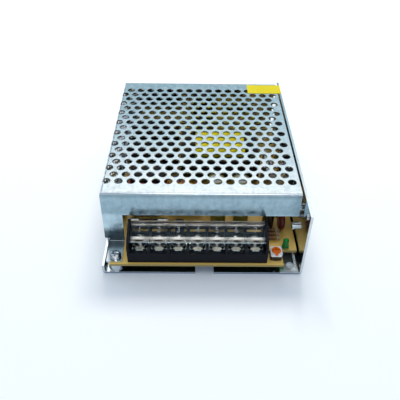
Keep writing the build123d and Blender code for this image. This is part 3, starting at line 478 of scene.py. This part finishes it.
def makeMaterial(name, changes):
    look = {**usualLook, "second": changes["colour"], **changes}
    material = bpy.data.materials.new(name)
    material.use_nodes = True
    tree = material.node_tree
    shader = tree.nodes["Principled BSDF"]
    for key, label in shaderInputs.items():
        shader.inputs[label].default_value = look[key]
    surface = groupNode(tree, look["surface"],
                        {label: look[key] for key, label in surfaceInputs.items() if key in look})
    colour, rough = surface["Colour"], surface["Roughness"]

    if "fold" in look:
        # painted shade: in front of a level, the colour is darkened by height
        front = groupNode(tree, "below", {"Direction": (0, 1, 0), "Level": look["foldFrom"]})
        colour = mixColour(tree, front["Mask"], colour, alongRamp(tree, (0, 0, 1), look["fold"]), "MULTIPLY")
    if "bands" in look:
        banded = alongRamp(tree, look["bandsAlong"], look["bands"], "CONSTANT")
        colour = mixColour(tree, look["bandShare"], colour, banded, look["bandBlend"])
    if "dust" in look:
        colour = groupNode(tree, "dust", {"Colour": colour, "Amount": look["dust"]})["Colour"]
    if "wireBelow" in look:
        # bare leads below a level: metal, with a roughness of their own
        wire = groupNode(tree, "below", {"Direction": (0, 0, 1), "Level": look["wireBelow"]})["Mask"]
        colour = mixColour(tree, wire, colour, leadMetal["colour"])
        body = times(tree, rough, mathNode(tree, "SUBTRACT", 1.0, wire))
        rough = plus(tree, body, times(tree, wire, leadMetal["rough"]))
        feed(tree, shader.inputs["Metallic"], wire)
    if "veil" in look:
        feed(tree, shader.inputs["Alpha"], addVeil(tree, look))

    feed(tree, shader.inputs["Base Color"], colour)
    feed(tree, shader.inputs["Roughness"], rough)
    bump = tree.nodes.new("ShaderNodeBump")
    bump.inputs["Strength"].default_value = look["relief"]
    bump.inputs["Distance"].default_value = look["depth"] * mm
    feed(tree, bump.inputs["Height"], surface["Height"])
    feed(tree, shader.inputs["Normal"], bump.outputs["Normal"])
    return material


def paint(material, *names):
    for name in names:
        mesh = nodes[name].data
        if not mesh.materials:
            mesh.materials.append(material)
        for slot in nodes[name].material_slots:
            slot.material = material


def clearMaterial(name, look):
    # clear moulding or glass that lets the lamps through to what lies behind it
    material = makeMaterial(name, look)
    tree = material.node_tree
    shader = tree.nodes["Principled BSDF"]
    shader.inputs["Transmission Weight"].default_value = 1.0
    through = tree.nodes.new("ShaderNodeBsdfTransparent")
    through.inputs["Color"].default_value = look["shade"]
    path = tree.nodes.new("ShaderNodeLightPath")
    mix = tree.nodes.new("ShaderNodeMixShader")
    tree.links.new(path.outputs["Is Shadow Ray"], mix.inputs[0])
    tree.links.new(shader.outputs[0], mix.inputs[1])
    tree.links.new(through.outputs[0], mix.inputs[2])
    tree.links.new(mix.outputs[0], tree.nodes["Material Output"].inputs["Surface"])
    return material


# surfaces worked out on a grid of places
def gridFaces(count, around):
    # neighbours on a grid of rings are joined by faces, and each ring is closed
    i = np.arange(count - 1)[:, None]
    j = np.arange(around)[None]
    turned = (j + 1) % around
    corners = (i * around + j, i * around + turned, (i + 1) * around + turned, (i + 1) * around + j)
    return np.stack(np.broadcast_arrays(*corners), axis=-1).reshape(-1, 4)


def addSurfaces(name, many, material):
    # many[k, i, j] is the j-th place round the i-th ring of the k-th grid: each is closed at both ends
    number, count, around = many.shape[:3]
    step = count * around
    faces = gridFaces(count, around)[None] + step * np.arange(number)[:, None, None]
    faces = faces.reshape(-1, 4).tolist()
    for start in range(0, number * step, step):
        faces.append(list(range(start, start + around))[::-1])
        faces.append(list(range(start + step - around, start + step)))
    mesh = bpy.data.meshes.new(name)
    mesh.from_pydata(many.reshape(-1, 3).tolist(), [], faces)
    # faces turned outwards, smooth shading and one material
    tidy = bmesh.new()
    tidy.from_mesh(mesh)
    bmesh.ops.recalc_face_normals(tidy, faces=tidy.faces)
    tidy.to_mesh(mesh)
    tidy.free()
    mesh.shade_smooth()
    mesh.materials.append(material)
    return addToScene(name, mesh)


def addSurface(name, rows, material):
    return addSurfaces(name, rows[None], material)


def unit(vectors):
    return vectors / np.linalg.norm(vectors, axis=-1, keepdims=True)


def roundWire(path, outward, radius, sides=10):
    # a circle carried along the path: its plane stands across the path's direction, one axis towards outward
    forward = unit(np.gradient(path, axis=0))
    first = unit(outward - (outward * forward).sum(-1, keepdims=True) * forward)
    second = np.cross(forward, first)
    turn = np.linspace(0, 2 * pi, sides, endpoint=False)[None, :, None]
    return path[:, None] + radius * (np.cos(turn) * first[:, None] + np.sin(turn) * second[:, None])


def squaredTurn(turn, halfWidth, halfDepth, power):
    # a circle with flattened sides: sine and cosine are raised to a power below one, with their signs kept
    across = np.sign(np.cos(turn)) * np.abs(np.cos(turn)) ** power * halfWidth
    deep = np.sign(np.sin(turn)) * np.abs(np.sin(turn)) ** power * halfDepth
    return across, deep


# case
coverLook = {
    "surface": "sheet", "colour": tone(230, 234, 236), "second": tone(208, 215, 219),
    "metal": 1.0, "rough": 0.19, "spread": 0.16, "spangle": 340.0, "streaks": 0.24, "relief": 0.16, "depth": 0.03,
    # painted shade on the front fold, standing in for the shade its sheet mirrors: how much of each colour it keeps
    # at each height, in mm
    "fold": [
        (6.0, (0.96, 1.0, 1.0)), (8.01, (0.96, 1.0, 1.0)),                                 # tab
        (8.1, (0.10, 0.12, 0.13)), (13.5, (0.16, 0.20, 0.21)),                             # foot of the leg
        (17.0, (0.78, 0.96, 1.0)), (24.0, (0.74, 0.92, 1.0)),                              # rest of the leg
        (26.0, (0.43, 0.58, 0.65)), (34.5, (0.48, 0.64, 0.71)), (36.6, (0.32, 0.44, 0.50)),  # flap
        (37.4, (0.92, 0.97, 0.98)),                                                        # bend
    ],
    "foldBehind": 11.2,    # the painted shade ends this far behind the tab's screw, in mm
}
chassisLook = {
    "surface": "sheet", "colour": tone(222, 228, 231), "second": tone(200, 208, 213),
    "metal": 1.0, "rough": 0.14, "spread": 0.10, "spangle": 160.0, "relief": 0.06, "depth": 0.03,
    # painted shade on the base's cut front edge too, and all above it keeps its colour
    "fold": [(0.0, (0.42, 0.46, 0.57)), (0.7, (0.42, 0.46, 0.57)), (1.1, (1.0, 1.0, 1.0)), (40.0, (1.0, 1.0, 1.0))],
    "foldBehind": 0.15,    # the painted shade ends this far behind the base's front edge, in mm
}
screwLook = {
    "colour": tone(196, 199, 202), "second": tone(160, 163, 166), "metal": 1.0,
    "rough": 0.13, "spread": 0.10, "patch": 500.0, "grain": 4000.0, "relief": 0.10,
}
labelLook = {
    "colour": tone(222, 206, 14), "second": tone(212, 194, 10), "rough": 0.5, "patch": 90.0,
    "grain": 5200.0, "relief": 0.12, "shine": 0.25,
}
sheetLook = {
    "colour": tone(8, 34, 26), "second": tone(5, 24, 19), "patch": 60.0, "grain": 3000.0,
    "dust": 0.15, "shine": 0.3,
}
coverLook["foldFrom"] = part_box("tab_screw")[1].y + coverLook["foldBehind"] * mm
chassisLook["foldFrom"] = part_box("chassis")[0].y + chassisLook["foldBehind"] * mm
paint(makeMaterial("coverZinc", coverLook), "cover")
paint(makeMaterial("chassisZinc", chassisLook), "chassis")
screwMetal = makeMaterial("screwNickel", screwLook)
paint(screwMetal, "tab_screw", "board_screws", "corner_screw", "clamp_screws", "rectifier_screw")
paint(makeMaterial("labelPaper", labelLook), "cover_label")
paint(makeMaterial("insulatingSheet", sheetLook), "insulation_sheet")
print("case: painted")


# board
boardLook = {
    "colour": tone(255, 216, 104), "second": tone(244, 192, 78), "rough": 0.38, "spread": 0.10,
    "patch": 70.0, "grain": 2600.0, "relief": 0.08, "coat": 0.25, "dust": 0.10,
    "bandsAlong": (0, 0, 1),
    # what is left of the colour: little under the green varnish, which is the board's own colour; on the sawn edge
    # the colour is darkened as painted shade, lightest at the top; all above keeps it
    "bands": [
        (4.0, (0.006, 0.034, 0.09)), (5.68, (0.36, 0.40, 0.50)), (7.10, (1.0, 1.0, 1.0)), (8.0, (1.0, 1.0, 1.0)),
    ],
    "bandBlend": "MULTIPLY",
}
solderSetup = {
    "tipDepth": 1.6 * mm,      # how far each lead comes through the board
    "tipSlack": 0.03 * mm,     # how exactly a place has to lie at that depth
    "gather": 1.3 * mm,        # what lies closer together than this is one lead
    "without": ("chassis", "cover", "board_screws", "tab_screw", "insulation_sheet"),
    "foot": 1.05 * mm,         # radius on the board
    "neck": 0.50 * mm,         # radius round the lead
    "drop": 1.15 * mm,         # height of the joint below the board
    "gap": 0.01 * mm,          # between board and joint, too small to see
    "rings": 6,
    "sides": 14,
    "look": {"colour": tone(214, 216, 218), "second": tone(188, 190, 192), "metal": 1.0, "rough": 0.24,
             "patch": 700.0, "grain": 3000.0, "relief": 0.2},
}


def leadPlaces(setup, bottom):
    # where the leads end below the board: every piece's lowest places there, gathered lead by lead
    found = []
    for name, node in nodes.items():
        if name in setup["without"]:
            continue
        places = np.empty(len(node.data.vertices) * 3)
        node.data.vertices.foreach_get("co", places)
        places = places.reshape(-1, 3)
        places = places[np.abs(places[:, 2] - (bottom - setup["tipDepth"])) < setup["tipSlack"]][:, :2]
        while len(places):
            near = np.linalg.norm(places - places[0], axis=1) < setup["gather"]
            found.append(places[near].mean(axis=0))
            places = places[~near]
    return np.array(found)


def addSolder(setup):
    # a hollow-sided cone at every lead: the radius falls with the square root of the depth
    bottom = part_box("circuit_board")[0].z
    places = leadPlaces(setup, bottom)
    depth = np.linspace(0, 1, setup["rings"])
    radius = setup["foot"] + (setup["neck"] - setup["foot"]) * np.sqrt(depth)
    turn = np.linspace(0, 2 * pi, setup["sides"], endpoint=False)
    joint = np.empty((len(depth), len(turn), 3))
    joint[..., 0] = radius[:, None] * np.cos(turn)
    joint[..., 1] = radius[:, None] * np.sin(turn)
    joint[..., 2] = bottom - setup["gap"] - depth[:, None] * setup["drop"]
    shift = np.concatenate([places, np.zeros((len(places), 1))], axis=1)
    rows = joint[None] + shift[:, None, None, :]
    piece = addSurfaces("solder_joints", rows, makeMaterial("solderTin", setup["look"]))
    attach(piece, "supply")
    return len(places)


paint(makeMaterial("boardLaminate", boardLook), "circuit_board")
print("board: painted,", addSolder(solderSetup), "solder joints")


# terminal strip
poles = range(1, 8)
stripLook = {
    "colour": tone(8, 11, 18), "second": tone(12, 16, 24), "rough": 0.34,
    "patch": 220.0, "grain": 2400.0, "relief": 0.12, "dust": 0.01, "shine": 0.12,
}
contactLook = {
    "colour": tone(236, 234, 226), "second": tone(208, 206, 196), "metal": 1.0, "rough": 0.16,
    "spread": 0.10, "patch": 600.0, "grain": 3600.0, "relief": 0.12,
}
washerLook = {
    "colour": tone(116, 118, 114), "second": tone(70, 72, 70), "metal": 1.0, "rough": 0.2,
    "patch": 700.0, "grain": 3600.0,
}
lidLook = {
    "colour": tone(250, 252, 252), "second": tone(246, 249, 250), "rough": 0.03, "spread": 0.03,
    "patch": 160.0, "grain": 1500.0, "relief": 0.03, "ior": 1.30, "shade": (0.92, 0.94, 0.95, 1),
}
paint(makeMaterial("stripPlastic", stripLook), "terminal_block")
paint(makeMaterial("contactTin", contactLook), "contact_plates")
paint(makeMaterial("washerPlate", washerLook), *[f"terminal_washer_{i}" for i in poles])
paint(screwMetal, *[f"terminal_screw_{i}" for i in poles])
paint(clearMaterial("lidClear", lidLook), "terminal_lid")

lidHighlights = {
    # painted highlights: thin pale strips laid just outside the lid's lip, step and barrel, where the real lid
    # catches the light; the profile of each across the lid as y and z, in mm.
    # the lip's is a quarter of a circle, then straight down
    "profiles": {
        "lip": [(-58.75 - 1.08 * sin(a), 19.85 + 1.08 * cos(a)) for a in np.linspace(0.15, pi / 2, 9)]
        + [(-59.83, 17.5)],
        "step": [(-51.35, 22.0), (-51.62, 21.72), (-51.92, 21.3)],
        "barrel": [(-49.25, 22.13), (-49.65, 22.13)],
    },
    "side": 2.0,         # how far each stops before the block's ends
    "thick": 0.02,
    "steps": 40,
    "wave": 0.46,        # how much fuller the painted highlight shows over each pole, standing in for the bright screw heads seen through the lid
    "look": {
        "colour": tone(252, 246, 232), "second": tone(232, 224, 208), "metal": 0.4, "rough": 0.2, "spread": 0.14,
        "patch": 420.0, "grain": 1600.0, "relief": 0.2, "depth": 0.03,
        # how much of the painted highlight shows at each height, in mm
        "veil": [
            (17.4, 0.40), (17.8, 0.70), (18.1, 0.56), (18.5, 0.84), (19.1, 1.0), (19.6, 1.0), (20.1, 1.0),
            (20.5, 0.92), (21.2, 0.36), (22.2, 0.36),
        ],
    },
}


def addLidEdges(setup):
    # each painted highlight is its profile carried straight along the lid, out and back as a thin closed strip
    low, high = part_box("terminal_block")
    first, second = middle("terminal_screw_1").x, middle("terminal_screw_2").x
    glint = makeMaterial("lidPaintedGlint", {**setup["look"], "poles": (first, abs(second - first), setup["wave"])})
    along = np.linspace(low.x + setup["side"] * mm, high.x - setup["side"] * mm, setup["steps"])
    for name, profile in setup["profiles"].items():
        outer = np.array(profile) * mm
        inner = outer - np.array([0.0, setup["thick"] * mm])
        ring = np.concatenate([outer, inner[::-1]])
        rows = np.empty((len(along), len(ring), 3))
        rows[..., 0] = along[:, None]
        rows[..., 1:] = ring[None]
        strip = addSurface(f"lid_painted_highlight_{name}", rows, glint)
        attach(strip, "lid")


digitSetup = {
    "height": 5.4 * mm,
    "narrow": 0.72,           # width against a usual figure's
    "lift": 0.05 * mm,        # how far a figure stands proud of the lid
    "gap": 0.01 * mm,         # between lid and figure, too small to see
    "level": 20.9 * mm,       # the lid's upper face
    "middle": -54.3 * mm,
    "look": {"colour": tone(196, 198, 194), "second": tone(168, 170, 166), "patch": 900.0},
}


def addDigits(setup):
    # moulded pole numbers on the lid, one figure over each pole
    haze = makeMaterial("poleFigures", setup["look"])
    level = setup["level"] + setup["lift"] / 2 + setup["gap"]
    for number in poles:
        name = f"pole_number_{number}"
        curve = bpy.data.curves.new(name, "FONT")
        curve.body = str(number)
        curve.size = setup["height"]
        curve.extrude = setup["lift"] / 2
        curve.align_x = "CENTER"
        curve.align_y = "CENTER"
        text = addToScene(name, curve)
        bpy.context.view_layer.update()
        mesh = bpy.data.meshes.new_from_object(text)
        place = Matrix.Translation((middle(f"terminal_screw_{number}").x, setup["middle"], level))
        mesh.transform(place @ Matrix.Scale(setup["narrow"], 4, (1, 0, 0)))
        bpy.data.objects.remove(text)
        mesh.materials.clear()
        mesh.materials.append(haze)
        figure = addToScene(name, mesh)
        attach(figure, "lid")


addLidEdges(lidHighlights)
addDigits(digitSetup)
print("terminal strip: painted, lid edges and figures added")


# windings
wireLook = {
    "colour": tone(196, 104, 44), "second": tone(166, 80, 32), "rough": 0.24, "coat": 0.5, "patch": 260.0,
    "grain": 3200.0, "relief": 0.1,
}
# lengths in mm
ringTurns = {
    "centre": (-9.0, -27.0, 17.6),
    "section": (6.5, 2.0, 3.5),        # middle radius, half width and half depth of the ring's section
    "wire": 0.62,
    "clear": 0.15,                     # between the wire and the ring
    "turns": 15,
    "steps": 36,                       # places in each turn
    "squared": 0.45,
    "open": 62.0,                      # degrees left bare at the foot
    "foot": (6.5, 4.2, 6.9),           # where each end goes into the board
    "footSteps": 10,
}
legTurns = {
    "centre": (-29.5, -17.0),
    "legs": 6.75,                      # from the middle to each leg
    "half": (2.25, 2.75),              # half width and half depth of a leg
    "wire": 0.42,
    "build": 1.85,                     # from a leg to the outside of its winding
    "bottom": 13.6,
    "turns": 9,
    "steps": 36,
    "squared": 0.5,
    "loose": 1.02,                     # climb of each turn against the wire's width
    "sides": 8,
}
legSides = [("line_choke_turns_left", -1), ("line_choke_turns_right", 1)]


def addRingTurns(setup):
    # the wire goes round the ring's section while the section goes round the ring:
    # a squared circle, with its two axes scaled, carried along an arc
    centre = np.array(setup["centre"])
    middleRadius, halfWidth, halfDepth = setup["section"]
    reach = setup["wire"] + setup["clear"]
    t = np.linspace(0, 1, setup["turns"] * setup["steps"])
    arc = radians(180 - setup["open"] / 2) * (2 * t - 1)
    across, deep = squaredTurn(2 * pi * setup["turns"] * t, halfWidth + reach, halfDepth + reach, setup["squared"])
    radial = np.stack([np.sin(arc), np.zeros_like(arc), np.cos(arc)], axis=1)
    along = np.array([0.0, 1.0, 0.0])
    path = centre + radial * (middleRadius + across)[:, None] + along * deep[:, None]
    outward = radial * across[:, None] + along * deep[:, None]
    # both ends run straight down into the board
    footSteps, (footX, footY, footZ) = setup["footSteps"], setup["foot"]
    share = np.linspace(0, 1, footSteps, endpoint=False)[:, None]
    ends = []
    for side, place in ((-1, path[0]), (1, path[-1])):
        foot = np.array([centre[0] + side * footX, centre[1] + footY, footZ])
        ends.append(foot + (place - foot) * share)
    path = np.concatenate([ends[0], path, ends[1][::-1]])
    first, last = outward[:1], outward[-1:]
    outward = np.concatenate([np.repeat(first, footSteps, axis=0), outward, np.repeat(last, footSteps, axis=0)])
    return addSurface("output_choke_turns", roundWire(path * mm, outward, setup["wire"] * mm), copper)


def addLegTurns(setup, name, side):
    # a squared circle that climbs by one wire each turn
    reach = setup["build"] - setup["wire"]
    halfWidth, halfDepth = setup["half"]
    t = np.linspace(0, 1, setup["turns"] * setup["steps"])
    across, deep = squaredTurn(2 * pi * setup["turns"] * t, halfWidth + reach, halfDepth + reach, setup["squared"])
    climb = setup["bottom"] + setup["wire"] + t * 2 * setup["wire"] * setup["turns"] * setup["loose"]
    centreX, centreY = setup["centre"]
    path = np.stack([centreX + side * setup["legs"] + across, centreY + deep, climb], axis=1)
    outward = np.stack([across, deep, np.zeros_like(t)], axis=1)
    wire = roundWire(path * mm, outward, setup["wire"] * mm, setup["sides"])
    return addSurface(name, wire, copper)


copper = makeMaterial("wireEnamel", wireLook)
ringPiece = addRingTurns(ringTurns)
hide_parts("output_choke_winding")
legPieces = [addLegTurns(legTurns, name, side) for name, side in legSides]
for piece in legPieces:
    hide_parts("line_choke_winding")
for piece in (ringPiece, *legPieces):
    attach(piece, "supply")
print("windings: wound")


# capacitors
# lengths in mm
canTops = {
    # centre, radius and level of each bare top
    "tops": [
        (7.3, -22.5, 3.72, 27.45), (20.5, -22.5, 3.72, 27.45), (8.0, -38.0, 2.72, 18.95), (20.0, -38.0, 2.72, 18.95),
    ],
    "rise": 0.13,        # thickness of the bare top
    "score": 0.10,       # depth and width of the scored cross
    "scoreWidth": 0.16,
    "rim": 0.9,          # share of the radius where the cross ends
    "rings": 12,
    "sides": 96,
    "look": {"colour": tone(214, 214, 208), "second": tone(190, 190, 184), "metal": 1.0, "rough": 0.30,
             "patch": 500.0, "grain": 2600.0, "relief": 0.2},
}


def addCanTops(setup):
    # flat rings, lowered along two crossing lines: the depth falls off as a bell curve of the distance from them
    bare = makeMaterial("canTopMetal", setup["look"])
    turn = np.linspace(0, 2 * pi, setup["sides"], endpoint=False)
    share = np.linspace(1.0, 0.02, setup["rings"])[:, None]
    for number, (x, y, radius, level) in enumerate(setup["tops"], start=1):
        across = radius * share * np.cos(turn)
        deep = radius * share * np.sin(turn)
        fromLine = np.minimum(np.abs(across), np.abs(deep))
        groove = setup["score"] * np.exp(-(fromLine / setup["scoreWidth"]) ** 2) * (share < setup["rim"])
        top = np.stack([x + across, y + deep, level + setup["rise"] - groove], axis=-1)
        skirt = np.stack([x + across[0], y + deep[0], np.full_like(turn, level)], axis=-1)
        piece = addSurface(f"can_top_{number}", np.concatenate([skirt[None], top]) * mm, bare)
        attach(piece, "supply")


addCanTops(canTops)
print("cans: bare tops added")


# components: material, look and the pieces that have it
resistorBody = tone(140, 100, 52)[:3]
resistorLead = tone(200, 200, 196)[:3]
componentLooks = {
    "fuseCap": (contactLook, ["fuse_caps"]),
    "thermistorGreen": (
        {"colour": tone(46, 66, 44), "second": tone(34, 52, 36), "rough": 0.35, "wireBelow": 8.6 * mm},
        ["thermistor"]),
    "safetyBlue": (
        {"colour": tone(62, 116, 178), "second": tone(50, 100, 160), "rough": 0.28, "coat": 0.4,
         "wireBelow": 8.6 * mm},
        ["safety_capacitors"]),
    "boxDark": (
        {"colour": tone(44, 40, 38), "second": tone(34, 31, 30), "rough": 0.45, "shine": 0.3}, ["x_capacitor"]),
    "chokeBase": ({"colour": tone(30, 30, 30), "rough": 0.45}, ["line_choke_base"]),
    "ferriteGrey": (
        {"colour": tone(28, 29, 32), "second": tone(20, 21, 24), "rough": 0.55, "grain": 3800.0, "relief": 0.3,
         "dust": 0.04, "shine": 0.2},
        ["line_choke_core", "transformer_core"]),
    "bridgeBlack": ({"colour": tone(30, 30, 32), "rough": 0.42, "wireBelow": 9.2 * mm}, ["bridge_rectifier"]),
    "canSleeve": (
        {"colour": tone(7, 8, 13), "second": tone(5, 6, 9), "rough": 0.34, "shine": 0.15}, ["bulk_capacitors"]),
    "outputSleeve": (
        {"colour": tone(150, 138, 42), "second": tone(120, 108, 30), "rough": 0.25, "coat": 0.4},
        ["output_capacitors"]),
    "bobbinBlack": (
        {"colour": tone(18, 17, 16), "rough": 0.45, "dust": 0.04, "shine": 0.2},
        ["transformer_bobbin", "drive_transformer"]),
    "windingTape": (
        {"colour": tone(250, 236, 22), "second": tone(236, 218, 10), "rough": 0.3, "shine": 0.3, "patch": 60.0,
         "grain": 900.0, "relief": 0.25, "depth": 0.06},
        ["transformer_winding"]),
    "deviceBlack": ({"colour": tone(34, 34, 36), "rough": 0.5, "wireBelow": 15.2 * mm}, ["wall_transistors"]),
    "padGrey": ({"colour": tone(168, 172, 172), "rough": 0.6}, ["insulating_pads"]),
    "clampSteel": (screwLook, ["clamp_bars"]),
    "sinkAluminium": (
        {"surface": "sheet", "colour": tone(214, 216, 216), "second": tone(196, 198, 198), "metal": 1.0,
         "rough": 0.34},
        ["output_heatsink"]),
    "rectifierBlack": ({"colour": tone(34, 34, 36), "rough": 0.5, "wireBelow": 13.7 * mm}, ["output_rectifier"]),
    "chokeCore": (
        {"colour": tone(226, 214, 90), "second": tone(210, 196, 70), "rough": 0.45}, ["output_choke_core"]),
    "filterBlack": ({"colour": tone(24, 24, 28), "rough": 0.25, "coat": 0.3}, ["filter_capacitor"]),
    "filmRed": (
        {"colour": tone(104, 20, 16), "second": tone(84, 14, 12), "rough": 0.36, "shine": 0.3,
         "wireBelow": 8.6 * mm},
        ["film_capacitor"]),
    "resistorTan": (
        {"colour": tone(150, 112, 62), "second": tone(126, 90, 48), "rough": 0.36, "shine": 0.35,
         "bandsAlong": (1, 0, 0), "bandShare": 0.85,
         "bands": [
             (32.3, resistorLead), (32.75, resistorBody), (33.4, tone(74, 14, 12)[:3]), (34.1, resistorBody),
             (34.6, tone(60, 20, 44)[:3]), (35.2, resistorBody), (35.7, tone(120, 26, 20)[:3]),
             (36.3, resistorBody), (37.5, tone(150, 110, 30)[:3]), (38.0, resistorBody), (38.5, resistorLead),
             (39.6, resistorLead),
         ]},
        ["signal_resistors"]),
    "pilotGreen": (
        {"colour": tone(6, 150, 66), "second": tone(4, 118, 44), "rough": 0.3, "shine": 0.3,
         "wireBelow": 8.15 * mm},
        ["power_led"]),
    "trimmerWhite": (
        {"colour": tone(236, 238, 236), "second": tone(226, 228, 226), "rough": 0.42,
         "bandsAlong": (0, 0, 1),
         "bands": [(6.8, tone(20, 21, 24)[:3]), (9.9, tone(236, 238, 236)[:3]), (12.0, tone(236, 238, 236)[:3])],
         "wireBelow": 7.15 * mm},
        ["trimmer_body"]),
    "rotorOrange": (
        {"colour": tone(248, 128, 14), "second": tone(226, 92, 12), "rough": 0.42, "shine": 0.3},
        ["trimmer_rotor"]),
    "chipBlack": (
        {"colour": tone(32, 32, 34), "rough": 0.5, "wireBelow": 7.75 * mm}, ["control_chip", "optocoupler"]),
}
fuseLook = {
    "colour": tone(240, 244, 242), "rough": 0.03, "spread": 0.02, "shade": (0.95, 0.96, 0.95, 1),
}
for name, (look, names) in componentLooks.items():
    paint(makeMaterial(name, look), *names)
paint(clearMaterial("fuseGlass", fuseLook), "fuse_tube")
print("components: painted")
